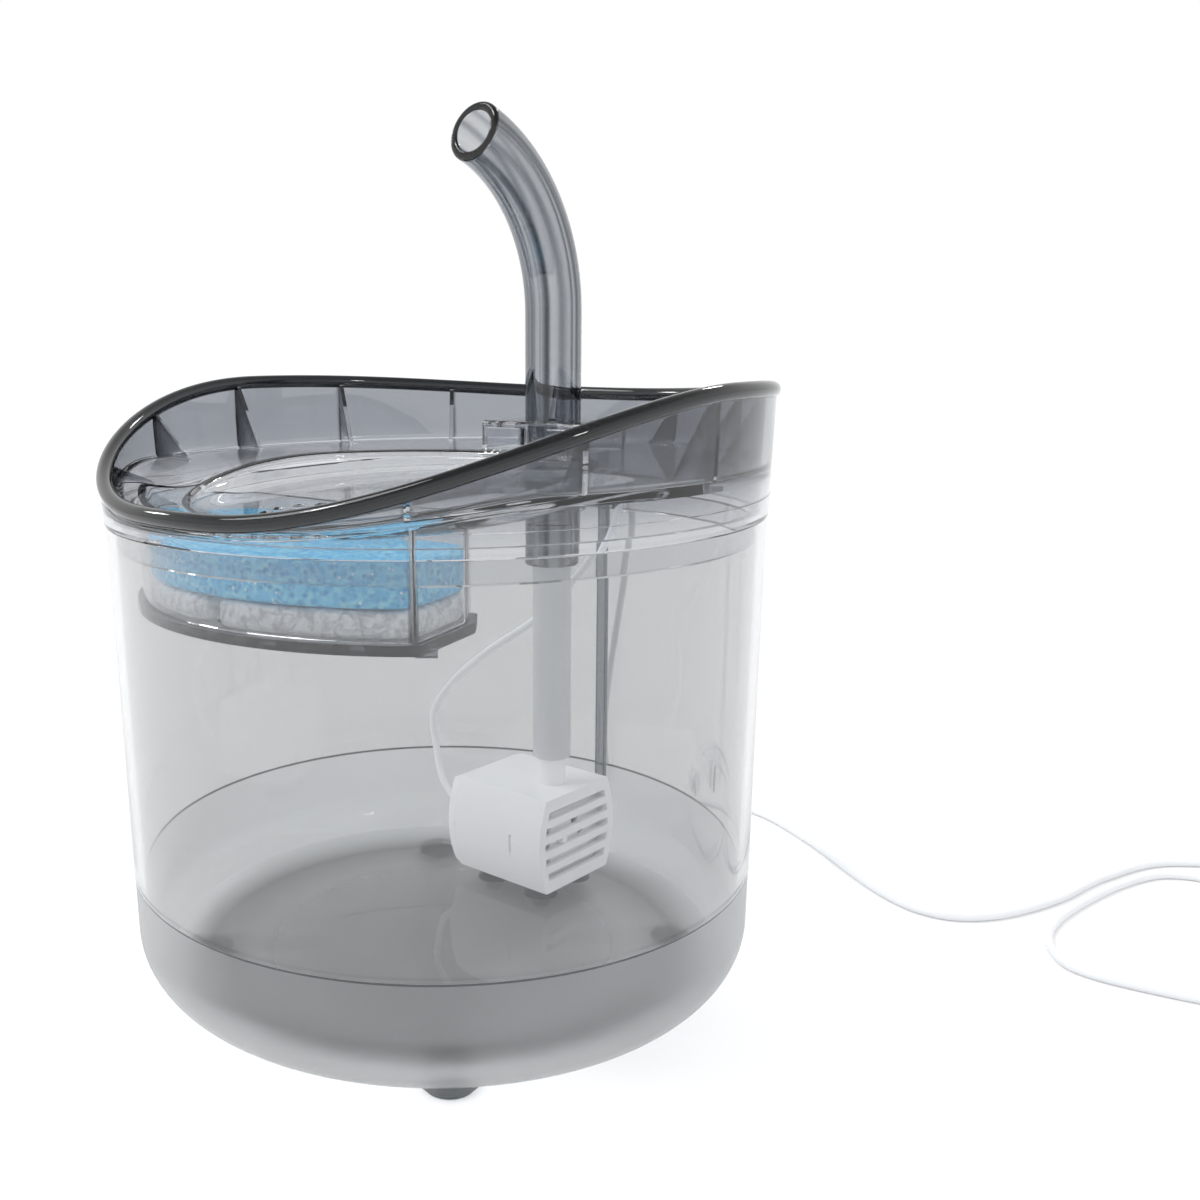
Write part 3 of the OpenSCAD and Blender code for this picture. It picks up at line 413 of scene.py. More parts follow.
def deck_h(u, y):
    """Height of the deck: one smooth blend from its edge at the wall, u = 0, to the bowl's lip, u = 1."""
    return deck_edge_h(y) + (bowl_lip_h(y) - deck_edge_h(y)) * u * u * (3 - 2 * u)


def bowl_floor_h(y):
    """Height of the bowl's flat floor, which tilts towards the front so that the water runs to the drain."""
    return bowl_floor_mm + (y - bowl_y_mm) * math.tan(math.radians(bowl_tilt_deg))


flat_r_mm = bowl_r_mm - bowl_round_mm
deck_r_mm = lid_r_mm - lid_wall_mm - fillet_mm


def bowl_side(rho, reach, top, bottom):
    """Height on the bowl's rounded side: a quarter of an ellipse from the flat floor out to its reach."""
    sine = np.clip((rho - flat_r_mm) / reach, 0, 1)
    return bottom + (top - bottom) * (1 - np.sqrt(1 - sine ** 2))


def lid_surface(x, y):
    """Heights of the top and underside of deck and bowl over the point (x, y)."""
    x, y = np.asarray(x, float), np.asarray(y, float)
    rho = np.hypot(x, y - bowl_y_mm)
    k = deck_r_mm - bowl_lip_r_mm
    a, b, c = bowl_y_mm ** 2 - k * k, 2 * (deck_r_mm * k - bowl_y_mm * y), x * x + y * y - deck_r_mm ** 2
    u = np.clip((-b + np.sqrt(np.maximum(b * b - 4 * a * c, 0))) / (2 * a), 0, 1)
    deck = deck_h(u, y)
    top = np.where(rho > bowl_lip_r_mm, deck, bowl_side(
        rho, bowl_round_mm, bowl_lip_h(y) - lip_drop_mm, bowl_floor_h(y)))
    under = np.where(rho > bowl_lip_r_mm + 0.2, deck - deck_t_mm, bowl_side(
        rho, bowl_round_mm + deck_t_mm, bowl_lip_h(y) - deck_t_mm, bowl_floor_h(y) - deck_t_mm))
    return top, under


lid_steps = 480
turn = np.linspace(0, 2 * np.pi, lid_steps, endpoint=False)
cos_t, sin_t = np.cos(turn), np.sin(turn)
front_angle = np.degrees(np.abs((turn + np.pi / 2 + np.pi) % (2 * np.pi) - np.pi))
edge = edge_h(front_angle)
lid_rings = []


def add_ring(r, h, shift=0.0):
    """Ring of radius r at height h over the rim, with its centre moved by shift along Y."""
    r, h = np.broadcast_to(r, turn.shape), np.broadcast_to(h, turn.shape)
    lid_rings.append(np.stack([r * cos_t, shift + r * sin_t, rim_mm + h], -1))


def add_bowl_ring(rho, height):
    """Ring round the bowl's centre whose height is a function of Y."""
    add_ring(rho, height(bowl_y_mm + rho * sin_t), bowl_y_mm)


def add_deck_ring(u, wall_r, thickness):
    """Ring on the deck, or below it by the thickness, with u from 0 at the wall to 1 at the bowl's lip."""
    r = wall_r * (1 - u) + bowl_lip_r_mm * u
    add_ring(r, deck_h(u, bowl_y_mm * u + r * sin_t) - thickness, bowl_y_mm * u)


for rho in (0, 5, 12, 20, 28, 36, flat_r_mm):
    add_bowl_ring(rho, lambda y: bowl_floor_h(y) - deck_t_mm)
for a in np.radians(np.linspace(0, 90, 13))[1:]:
    rho = flat_r_mm + (bowl_round_mm + deck_t_mm) * math.sin(a)
    add_bowl_ring(rho, lambda y: bowl_floor_h(y) - deck_t_mm
                  + (bowl_lip_h(y) - bowl_floor_h(y)) * (1 - math.cos(a)))
inner_r = lid_r_mm - lid_wall_mm
for u in np.linspace(1, 0, 15)[1:]:
    add_deck_ring(u, inner_r, deck_t_mm)
for r, h in ((inner_r, flange_mm), (spigot_in_mm, flange_mm), (spigot_in_mm, spigot_low_mm + 0.3),
             (spigot_in_mm + 0.3, spigot_low_mm), (spigot_r_mm - 0.5, spigot_low_mm),
             (spigot_r_mm, spigot_low_mm + 0.5), (spigot_r_mm, 0), (lid_r_mm + band_step_mm - 0.3, 0),
             (lid_r_mm + band_step_mm, 0.3)):
    add_ring(r, h)
bead_mid = lid_r_mm - lid_wall_mm / 2 + lid_draft * (edge - bead_r_mm)
bead_mid_h = edge - bead_r_mm
bead_turn = math.acos(lid_wall_mm / 2 / bead_r_mm)
wall_end = bead_mid_h - bead_r_mm * math.sin(bead_turn)
band_top = np.minimum(band_h_mm, wall_end - 0.6)
add_ring(lid_r_mm + lid_draft * band_top + band_step_mm, band_top)
add_ring(lid_r_mm + lid_draft * band_top, band_top + 0.15)
wall_heights = [band_top + 0.15 + (wall_end - band_top - 0.15) * part for part in (0.25, 0.5, 0.75)]
for h in (*wall_heights, wall_end - 0.25):
    add_ring(lid_r_mm + lid_draft * h, h)
wall_h = deck_edge_h(lid_r_mm * sin_t)
room = np.clip(wall_end - wall_h, 0, fillet_mm / 0.6)
bead_last = np.minimum(bead_turn, np.arcsin(np.clip((bead_mid_h - wall_h - 0.15) / bead_r_mm, -1, 1)))
for part in np.linspace(0, 1, 25):
    a = -bead_turn + (np.pi + bead_turn + bead_last) * part
    add_ring(bead_mid + bead_r_mm * np.cos(a), bead_mid_h + bead_r_mm * np.sin(a))
fillet = np.maximum(room * 0.6, 0.1)
bead_foot_r = bead_mid - bead_r_mm * np.cos(bead_last)
foot_r = np.where(room > 1, inner_r + lid_draft * wall_h, bead_foot_r)
top_h = bead_mid_h - bead_r_mm * np.sin(bead_last)
for part in (np.minimum(0.25 / np.maximum(top_h - wall_h - fillet, 1), 0.25), 0.35, 0.7):
    add_ring(bead_foot_r + (foot_r - bead_foot_r) * part, top_h + (wall_h + fillet - top_h) * part)
for a in np.radians(np.linspace(0, 90, 7)):
    add_ring(foot_r - fillet * (1 - math.cos(a)), wall_h + fillet * (1 - math.sin(a)))
for u in np.linspace(0, 1, 17)[1:]:
    add_deck_ring(u, deck_r_mm, 0)
for a in np.radians(np.linspace(0, 90, 7))[1:]:
    add_bowl_ring(bowl_lip_r_mm - 2 * math.sin(a), lambda y: bowl_lip_h(y) - lip_drop_mm * (1 - math.cos(a)))
for a in np.radians(np.linspace(90, 0, 13))[1:]:
    add_bowl_ring(flat_r_mm + bowl_round_mm * math.sin(a), lambda y: bowl_floor_h(y)
                  + (bowl_lip_h(y) - lip_drop_mm - bowl_floor_h(y)) * (1 - math.cos(a)))
for rho in (36, 28, 20, 12, 5, 0):
    add_bowl_ring(rho, bowl_floor_h)
lid = rings_piece("lid_moulding", lid_rings)

# Filter chamber below the deck, in one moulding with it. Its plan is a circle cut by five straight walls.
chamber_mm = 79.5
chamber_wall_mm, chamber_low_mm = 1.8, 113
chamber_centre = (0, -58)
chamber_sides = [(14.5, 35), (180 - 14.5, 35), (38.7, 12.5), (180 - 38.7, 12.5), (90, -30)]


def plan(inset, centre=chamber_centre, more=(), round_steps=2):
    """Outline inside the chamber's walls, as seen from centre: the nearest of its walls in each direction.
    Each wall is (angle, distance): the points with x cos + y sin of the angle up to that distance lie
    inside."""
    a = np.linspace(0, 2 * np.pi, 720, endpoint=False)
    dx, dy = np.cos(a), np.sin(a)
    x, y = centre
    along = x * dx + y * dy
    reach = -along + np.sqrt(along ** 2 + (chamber_mm - inset) ** 2 - x * x - y * y)
    for angle, distance in [*((w, d - inset) for w, d in chamber_sides), *more]:
        wx, wy = math.cos(math.radians(angle)), math.sin(math.radians(angle))
        facing = wx * dx + wy * dy
        to_wall = (distance - wx * x - wy * y) / np.maximum(facing, 1e-6)
        reach = np.minimum(reach, np.where(facing > 1e-6, to_wall, 1e9))
    for _ in range(round_steps):
        reach = (np.roll(reach, 1) + 2 * reach + np.roll(reach, -1)) / 4
    return np.stack([x + reach * dx, y + reach * dy], -1)


def at_height(outline, z):
    """Ring of an outline at one height or at a height for each point."""
    return np.column_stack([outline, np.broadcast_to(z, len(outline))])


outer_plan, inner_plan = plan(0), plan(chamber_wall_mm)
joint_z = [rim_mm + np.mean(lid_surface(*outline.T), axis=0) for outline in (outer_plan, inner_plan)]
combine(lid, rings_piece("chamber_walls", [
    at_height(plan(0.3), chamber_low_mm), at_height(outer_plan, chamber_low_mm + 0.3),
    at_height(outer_plan, joint_z[0]), at_height(inner_plan, joint_z[1]),
    at_height(inner_plan, chamber_low_mm + 0.2), at_height(plan(chamber_wall_mm - 0.2), chamber_low_mm)],
    loop=True), "UNION")

# Ribs that stiffen the wall above the deck: thin upright plates that run out towards the deck.
rib_mm, rib_foot_mm = 1.3, 10.5
rib_angles = (40, 65, 90, 115, 140, 165)
for rib_angle in rib_angles:
    for side in (-1, 1):
        out = np.array([side * math.sin(math.radians(rib_angle)), -math.cos(math.radians(rib_angle))])
        across = np.array([-out[1], out[0]])
        top = float(edge_h(np.array(rib_angle))) - 3
        foot_point = (inner_r - rib_foot_mm) * out
        low = float(lid_surface(*foot_point)[0]) - 0.8
        near_low = float(deck_edge_h(tank_r_mm * out[1])) - 1
        wall_in = inner_r + 0.8
        shape = [(inner_r - rib_foot_mm, low), (wall_in, min(near_low, low)), (wall_in, top),
                 (inner_r - 0.6, top), (inner_r - rib_foot_mm + 0.8, low + 1.9),
                 (inner_r - rib_foot_mm, low + 1.1)]
        outlines = ([(*(r * out + w * across * rib_mm / 2), rim_mm + h) for r, h in shape] for w in (-1, 1))
        combine(lid, prism("rib", *outlines), "UNION")

# Raised block behind the bowl with the socket that grips the tap's ring.
tap_y_mm = 51
block_w_mm, block_d_mm, block_top_mm, block_wall_mm = 41, 21, 153.3, 2
socket_low_mm, socket_bore_mm, socket_r_mm = 129.3, 8.35, 9.9


def rounded_rectangle(width, depth, corner, centre):
    """Outline of a rectangle with round corners."""
    x, y = width / 2 - corner, depth / 2 - corner
    corners = [arc(cx, cy, corner, a, a + 90, 8) for cx, cy, a in
               ((x, y, 0), (-x, y, 90), (-x, -y, 180), (x, -y, 270))]
    return np.concatenate(corners) + np.array(centre)


def rounded_block(name, width, depth, corner, centre, low, high, edge_mm):
    """Upright block with round corners and a round top edge."""
    foot = rounded_rectangle(width, depth, corner, centre)
    middle = np.tile(centre, (len(foot), 1))
    rings = [at_height(middle, low), at_height(foot, low)]
    for a in np.radians(np.linspace(0, 90, 6)):
        inset = edge_mm * (1 - math.cos(a))
        outline = rounded_rectangle(width - 2 * inset, depth - 2 * inset, max(corner - inset, 0.1), centre)
        rings.append(at_height(outline, high - edge_mm * (1 - math.sin(a))))
    rings.append(at_height(middle, high))
    return rings_piece(name, rings)


tap_centre = (0, tap_y_mm)
deck_mid_mm = rim_mm + deck_back_mm - deck_t_mm / 2
combine(lid, rounded_block(
    "block_skin", block_w_mm, block_d_mm, 2.5, tap_centre, deck_mid_mm, block_top_mm, 1.2), "UNION")
combine(lid, rounded_block(
    "block_room", block_w_mm - 2 * block_wall_mm, block_d_mm - 2 * block_wall_mm, 0.8, tap_centre,
    rim_mm + 6, block_top_mm - block_wall_mm, 0.4), "DIFFERENCE")
socket_skin = [[0, socket_low_mm], [socket_r_mm - 0.3, socket_low_mm], [socket_r_mm, socket_low_mm + 0.3],
               [socket_r_mm, block_top_mm - 0.6], [0, block_top_mm - 0.6]]
socket_bore = [[0, socket_low_mm - 1], [socket_bore_mm, socket_low_mm - 1],
               [socket_bore_mm, block_top_mm - 0.5], [socket_bore_mm + 0.6, block_top_mm + 1],
               [0, block_top_mm + 1]]
combine(lid, turned("socket_skin", socket_skin, tap_centre, 96), "UNION")
combine(lid, turned("socket_bore", socket_bore, tap_centre, 96), "DIFFERENCE")

# Drain holes in the bowl over the filter: one in the middle, with rings of 6 and 12 round it.
drain_mm, drain_pitch_mm, drain_y_mm = 1.7, 5.44, -46
drain_hole = [[0, rim_mm - 4], [drain_mm, rim_mm - 4], [drain_mm, rim_mm + 8], [0, rim_mm + 8]]
drain_places = [(0, 0)]
for k in (1, 2):
    for a in np.radians(np.arange(0, 360, 60 / k)):
        drain_places.append((k * drain_pitch_mm * math.cos(a), k * drain_pitch_mm * math.sin(a)))
for x, y in drain_places:
    combine(lid, turned("drain", drain_hole, (x, drain_y_mm + y), 24), "DIFFERENCE")

# Gap in the spigot for the cable, and a shallow notch below the front edge, where a finger lifts the lid.
combine(lid, block("cable_gap", (notch_left_mm, 78, rim_mm + spigot_low_mm - 1),
                   (notch_right_mm, 86.4, rim_mm - 0.05)), "DIFFERENCE")
finger_r_mm, finger_h_mm = 30, 1.6
finger_half_mm, finger_in_mm = 10.3, 87.2
finger_shape = np.concatenate([arc(0, rim_mm + finger_h_mm - finger_r_mm, finger_r_mm, 70, 110, 16),
                               [[-finger_half_mm, rim_mm - 1], [finger_half_mm, rim_mm - 1]]])
finger_outlines = ([(x, y, z) for x, z in finger_shape] for y in (-lid_r_mm - 4, -finger_in_mm))
combine(lid, prism("finger_notch", *finger_outlines), "DIFFERENCE")
shade(lid, 30)

# Painted shade, kept for the material as a tone from 0 to 1: the thick bead and the chamber's front
# corners are painted darkest, for the dark edges that refraction gives them, the ribs nearly so, the outer
# wall is painted darker towards its top, and the thin deck, bowl and chamber are left clearest.
lid_x, lid_y, lid_z = points_mm(lid)
lid_reach = np.hypot(lid_x, lid_y)
lid_angle = np.degrees(np.abs(np.arctan2(lid_x, -lid_y)))
bead_h = edge_h(lid_angle) - bead_r_mm
from_bead = np.hypot(lid_reach - (lid_r_mm - lid_wall_mm / 2 + lid_draft * bead_h), lid_z - rim_mm - bead_h)
painted_shade_tone = np.where((lid_reach > inner_r - 0.3) & (lid_z > rim_mm),
                      np.interp(lid_z - rim_mm, [4, 13], [0.15, 0.5]), 0.0)
painted_shade_tone[from_bead < bead_r_mm + 0.12] = 1.0
along = np.roll(outer_plan, -1, 0) - outer_plan
bend = np.cross(along, np.roll(along, -1, 0)) / np.linalg.norm(along, axis=1) ** 2
for corner in np.roll(outer_plan, -1, 0)[(bend > 0.1) & (outer_plan[:, 1] < chamber_centre[1])]:
    painted_shade_tone[(np.hypot(lid_x - corner[0], lid_y - corner[1]) < 0.9) & (lid_z < rim_mm)] = 1.0
over_deck = lid_z - rim_mm - lid_surface(lid_x, lid_y)[0]
rib_painted_shade = np.where(lid_reach > inner_r - 0.3, 0.95, 0.7)
for rib_angle in rib_angles:
    a = math.radians(rib_angle)
    off = np.abs(np.abs(lid_x) * math.cos(a) + lid_y * math.sin(a))
    at_rib = (off < rib_mm / 2 + 0.05) & (over_deck > 0.4) & (np.abs(lid_angle - rib_angle) < 10)
    at_rib &= (lid_reach > inner_r - rib_foot_mm - 0.5) & (lid_reach < inner_r + 1.6)
    painted_shade_tone = np.where(at_rib, np.maximum(painted_shade_tone, rib_painted_shade), painted_shade_tone)
keep_at_points(lid, "painted_shade_tone", painted_shade_tone)


def smoky_plastic(name, clear, middle, dark, density):
    """Polycarbonate dyed grey: a light dye all through, and painted shade at the skin, a tint by the tone of
    painted shade kept at its points.
    """
    made = new_material(name, {"IOR": 1.58, "Transmission Weight": 1.0, "Roughness": 0.02},
                        absorbs=("8a9299", density), shadow="f8f9fa")
    tone = node(made, "ShaderNodeAttribute", attribute_name="painted_shade_tone").outputs["Fac"]
    tint(made, tone, clear, middle, dark)
    return made


# Painted shade: 14181b darkens the bead, the chamber's front corners and the ribs, and 94989e the upper wall.
smoky = smoky_plastic("smoky_polycarbonate", "eff0f2", "94989e", "14181b", 5)
dress(lid, smoky, "lid", "smoky_plastic", "lid")


# Tap: a thick tube of the same plastic. It stands in the socket on a rubber ring and bends over the bowl.
tap_r_mm, tap_bore_mm = 8.3, 5.7
tap_low_mm, bend_low_mm, bend_r_mm, bend_deg = 110, 184.7, 50, 72
room_r_mm, room_top_mm = 6, 125.3
groove_r_mm, ring_z_mm, groove_h_mm = 7.1, 134, 2.6
straight_mm = bend_low_mm - tap_low_mm
tap_len_mm = straight_mm + bend_r_mm * math.radians(bend_deg)


def tap_ring(s, r):
    """Ring of radius r at the length s along the tap: straight up, then along an arc that leans to -Y."""
    bend = max(s - straight_mm, 0) / bend_r_mm
    at_y = tap_y_mm - bend_r_mm + bend_r_mm * math.cos(bend)
    at_z = tap_low_mm + min(s, straight_mm) + bend_r_mm * math.sin(bend)
    a = np.linspace(0, 2 * np.pi, 96, endpoint=False)
    side = r * np.sin(a)
    return np.stack([r * np.cos(a), at_y + side * math.cos(bend), at_z + side * math.sin(bend)], -1)


ring_low, ring_high = ring_z_mm - groove_h_mm / 2 - tap_low_mm, ring_z_mm + groove_h_mm / 2 - tap_low_mm
bend_places = np.linspace(straight_mm, tap_len_mm - 1.2, 31)
lip_places = arc(tap_r_mm - 1.1, tap_len_mm - 1.1, 1.1, 0, 90, 5)
mouth_places = arc(tap_bore_mm + 0.7, tap_len_mm - 0.7, 0.7, 90, 180, 4)
tap_profile = [(tap_r_mm - 0.4, 0), (tap_r_mm, 0.4), (tap_r_mm, ring_low), (groove_r_mm, ring_low + 0.05),
               (groove_r_mm, ring_high - 0.05), (tap_r_mm, ring_high), (tap_r_mm, ring_high + 20)]
tap_profile += [(tap_r_mm, s) for s in bend_places]
tap_profile += [*lip_places, *mouth_places]
tap_profile += [(tap_bore_mm, s) for s in bend_places[::-1]]
tap_profile += [(tap_bore_mm, room_top_mm - tap_low_mm), (room_r_mm, room_top_mm - tap_low_mm - 0.3),
                (room_r_mm, 0.4), (room_r_mm + 0.3, 0)]
tap = rings_piece("tap_tube", [tap_ring(s, r) for r, s in tap_profile], loop=True)

# Painted shade: dark lines along the tube that stand in for the bore's edges and the room as the thick wall
# refracts them. Each is the angle round the tube, 0 at +X and -90 at the front, its width, both in degrees,
# and its darkness. Their sum is kept as the tone of painted shade.
painted_refraction_lines = [(-66, 5, 1.0), (-78, 3, 0.5), (-28, 7, 0.45), (4, 4, 0.7), (16, 4, 0.8), (40, 12, 0.9),
             (-112, 5, 0.8), (-130, 12, 1.0), (150, 9, 0.4), (108, 8, 0.3)]
tap_x, tap_y, tap_z = points_mm(tap)
from_bend_y, from_bend_z = tap_y - tap_y_mm + bend_r_mm, tap_z - bend_low_mm
across_mm = np.where(from_bend_z > 0, np.hypot(from_bend_y, from_bend_z) - bend_r_mm, tap_y - tap_y_mm)
round_deg = np.degrees(np.arctan2(across_mm, tap_x))
tap_painted_shade = sum(dark * np.exp(-(((round_deg - at + 180) % 360 - 180) / width) ** 2)
               for at, width, dark in painted_refraction_lines)
keep_at_points(tap, "painted_shade_tone", np.clip(tap_painted_shade, 0, 1))
# Painted shade: 4a5058 for the darkest painted lines, 9a9fa6 for the fainter ones.
smoky_tube = smoky_plastic("smoky_polycarbonate_tube", "f4f5f7", "9a9fa6", "4a5058", 190)
dress(tap, smoky_tube, "tap", "smoky_plastic", "faucet")

# Silicone ring in the tap's groove: it seals the socket and lets the tap turn.
ring_places = arc(7.725, ring_z_mm, 0.575, -180, 180, 24)[:-1]
ring_places[:, 1] = ring_z_mm + (ring_places[:, 1] - ring_z_mm) * 1.15 / 0.575
tap_seal = turned("tap_seal", ring_places, tap_centre, 96, loop=True)


# Riser: a short cloudy vinyl tube. It is pushed over the pump's nozzle and ends inside the tap.
riser_r_mm, riser_bore_mm, riser_low_mm, riser_top_mm = 5.9, 4.45, 48.6, 125
riser = turned("riser_tube_skin", np.concatenate([
    arc(riser_r_mm - 0.5, riser_low_mm + 0.5, 0.5, -90, 0, 4), [[riser_r_mm, 90]],
    arc(riser_r_mm - 0.4, riser_top_mm - 0.4, 0.4, 0, 90, 3), [[riser_bore_mm + 0.2, riser_top_mm]],
    [[riser_bore_mm, riser_top_mm - 0.2], [riser_bore_mm, 90], [riser_bore_mm, riser_low_mm + 0.2],
     [riser_bore_mm + 0.2, riser_low_mm]]]), tap_centre, 96, loop=True)
# Soft vinyl, extruded: clear but milky, so that it softens what stands behind it.
vinyl = new_material("cloudy_vinyl", {
    "Base Color": colour("f2f3f4"), "IOR": 1.5, "Transmission Weight": 0.72, "Roughness": 0.3},
    absorbs=("9a9d9f", 40), shadow="ececee")
dress(riser, vinyl, "base", "clear_tube", "riser_tube")


# Filter: a smoky plate with holes snaps under the chamber and carries two cotton pads and a foam pad.
def rounded_copy(name, edge_mm):
    """Copy of a CAD node with its sharp edges rounded, as a mould leaves them."""
    data = nodes[name].data.copy()
    clean(data, 2e-6, 0.8)
    piece = placed(name + "_moulding", data)
    step = piece.modifiers.new("edges", "BEVEL")
    step.width = edge_mm * mm
    step.segments = 2
    step.limit_method = "ANGLE"
    step.angle_limit = math.radians(35)
    step.use_clamp_overlap = True
    apply_steps(piece)
    shade(piece, 50)
    return piece


def dress_copy(name, edge_mm, material, slot):
    """Gives the rounded copy of a CAD node that node's body and a material. The slot goes to dress, which
    doesn't use it.
    """
    return dress(rounded_copy(name, edge_mm), material, body_of(nodes[name])[0], slot, name)


smoky_plate = smoky_plastic("smoky_polycarbonate_plate", "bcc1c6", "bcc1c6", "bcc1c6", 260)
dress_copy("filter_cover", 0.4, smoky_plate, "smoky_plastic")
cotton_low_mm, cotton_top_mm, sponge_top_mm = 113, 120, 131.1
soft_inset_mm, left_end_mm, right_start_mm = 2.2, 1.4, 3.4


def pad(name, outline, centre, low, high, round_mm, lump_mm, seed):
    """Soft pad with a pillow edge: rings of the outline shrink towards centre over the round edge and the
    flat faces. A sum of ten seeded sine waves presses the surface in by up to lump_mm, never out."""
    rng = np.random.default_rng(seed)
    waves = rng.normal(0, 1, (10, 3)) / rng.uniform(4, 16, (10, 1))
    phases = rng.uniform(0, 2 * np.pi, 10)
    middle, half = (low + high) / 2, (high - low) / 2
    tip = np.tile(np.array(centre, float), (len(outline), 1))
    outward = outline - tip
    outward /= np.linalg.norm(outward, axis=1, keepdims=True)
    core = outline - outward * round_mm
    flats = np.linspace(0.08, 0.94, 16)
    rings = [at_height(tip, low)] + [at_height(tip + (core - tip) * part, low) for part in flats]
    for a in np.radians(np.linspace(-90, 90, 17)):
        lift = np.sign(a) * (half - round_mm + round_mm * abs(math.sin(a)))
        rings.append(at_height(outline - outward * round_mm * (1 - math.cos(a)), middle + lift))
    rings += [at_height(tip + (core - tip) * part, high) for part in flats[::-1]] + [at_height(tip, high)]
    grid = np.array(rings)
    wave = sum(np.sin(grid @ w + p) for w, p in zip(waves, phases)) / 10
    press = lump_mm * (0.5 + 0.5 * np.clip(wave * 2, -1, 1))
    core_z = np.clip(grid[..., 2], low + round_mm, high - round_mm)
    away = grid[..., :2] - centre
    length = np.maximum(np.linalg.norm(away, axis=-1, keepdims=True), 1e-6)
    on_side = np.clip(1 - np.abs(grid[..., 2] - middle) / half, 0, 1)[..., None]
    grid[..., :2] -= away / length * press[..., None] * np.minimum(1, 2 * on_side) * np.minimum(1, length / 8)
    grid[..., 2] = core_z + (grid[..., 2] - core_z) * (1 - press / (round_mm + 1e-6) * 0.6)
    return rings_piece(name, grid, smooth_angle=80)


left_centre, right_centre = (-18, -56), (22, -56)
left_plan = plan(soft_inset_mm, left_centre, [(0, left_end_mm)], round_steps=260)
right_plan = plan(soft_inset_mm, right_centre, [(180, -right_start_mm)], round_steps=120)
sponge = pad("foam_pad", plan(soft_inset_mm, round_steps=30), chamber_centre, cotton_top_mm, sponge_top_mm,
             1.6, 0.5, 3)
cotton_left = pad("cotton_pad_left", left_plan, left_centre, cotton_low_mm, cotton_top_mm, 3.2, 1.2, 5)
cotton_right = pad("cotton_pad_right", right_plan, right_centre, cotton_low_mm, cotton_top_mm, 2.4, 0.8, 8)


def object_place(material):
    """Object coordinates: metres in the row frame, since every piece stands at the origin."""
    return node(material, "ShaderNodeTexCoord").outputs["Object"]


# Open-cell polyurethane foam, cut: matt blue, with painted shade that darkens the pores and painted glints,
# white spots in some cells. The pores of 0.5 mm are drawn 1.5 mm apart to show.
foam = new_material("blue_foam", {"Roughness": 0.9})
foam_at = object_place(foam)
foam_cells = node(foam, "ShaderNodeTexVoronoi", {"Vector": foam_at, "Scale": 1000 / 1.5}, feature="F1")
foam_pores = node(foam, "ShaderNodeMapRange", {
    "Value": foam_cells.outputs["Distance"], "From Min": 0.15, "From Max": 0.6})
# Painted shade: 10a0ea darkens the middle of each pore.
foam_pore_shade = node(foam, "ShaderNodeMix", data_type="RGBA", inputs={
    "Factor": foam_pores.outputs["Result"], "A": colour("10a0ea"), "B": colour("9cecff")})
foam_blot = node(foam, "ShaderNodeTexNoise", {"Vector": foam_at, "Scale": 1000 / 2.5, "Detail": 4.0})
foam_mottle = node(foam, "ShaderNodeMapRange", {
    "Value": foam_blot.outputs["Fac"], "From Min": 0.35, "From Max": 0.65})
foam_wash = node(foam, "ShaderNodeMix", data_type="RGBA", inputs={
    "Factor": foam_mottle.outputs["Result"], "A": foam_pore_shade.outputs[2], "B": colour("5cccff")})
# Painted glints: white spots mixed into the colour in some cells, for the sparkle of light.
glint_cells = node(foam, "ShaderNodeTexVoronoi", {"Vector": foam_at, "Scale": 1000 / 0.9}, feature="F1")
glint_pick = node(foam, "ShaderNodeSeparateXYZ", {"Vector": glint_cells.outputs["Color"]})
glint_some = node(foam, "ShaderNodeMapRange", {
    "Value": glint_pick.outputs["X"], "From Min": 0.9, "From Max": 0.96})
glint_spot = node(foam, "ShaderNodeMapRange", {
    "Value": glint_cells.outputs["Distance"], "From Min": 0.45, "From Max": 0.2})
painted_glint = node(foam, "ShaderNodeMath", {0: glint_some.outputs["Result"], 1: glint_spot.outputs["Result"]},
                  operation="MULTIPLY")
foam_painted_glints = node(foam, "ShaderNodeMix", data_type="RGBA", inputs={
    "Factor": painted_glint.outputs[0], "A": foam_wash.outputs[2], "B": colour("ffffff")})
feed(foam, "Base Color", foam_painted_glints.outputs[2])
bump(foam, foam_pores.outputs["Result"], 0.5)

# Filter cotton, felted: matt white tufts of 2 to 3 mm, with painted shade that greys the patches between
# them, and fine strands.
wool = new_material("filter_cotton", {
    "Roughness": 0.95, "Subsurface Weight": 0.2, "Subsurface Radius": (0.002, 0.002, 0.002)})
wool_at = object_place(wool)
wool_tufts = node(wool, "ShaderNodeTexNoise", {
    "Vector": wool_at, "Scale": 1000 / 2.6, "Detail": 5.0, "Distortion": 1.0})
wool_painted_shade = node(wool, "ShaderNodeMapRange", {
    "Value": wool_tufts.outputs["Fac"], "From Min": 0.36, "From Max": 0.6})
# Painted shade: ced0d2 greys the patches between the tufts.
wool_tone = node(wool, "ShaderNodeMix", data_type="RGBA", inputs={
    "Factor": wool_painted_shade.outputs["Result"], "A": colour("ced0d2"), "B": colour("ffffff")})
wool_strands = node(wool, "ShaderNodeTexNoise", {
    "Vector": wool_at, "Scale": 1000 / 1.4, "Detail": 4.0, "Distortion": 1.5})
feed(wool, "Base Color", wool_tone.outputs[2])
bump(wool, wool_strands.outputs["Fac"], 0.8)
dress(sponge, foam, "filter", "sponge", "sponge")
dress(cotton_left, wool, "filter", "cotton", "cotton_left")
dress(cotton_right, wool, "filter", "cotton", "cotton_right")


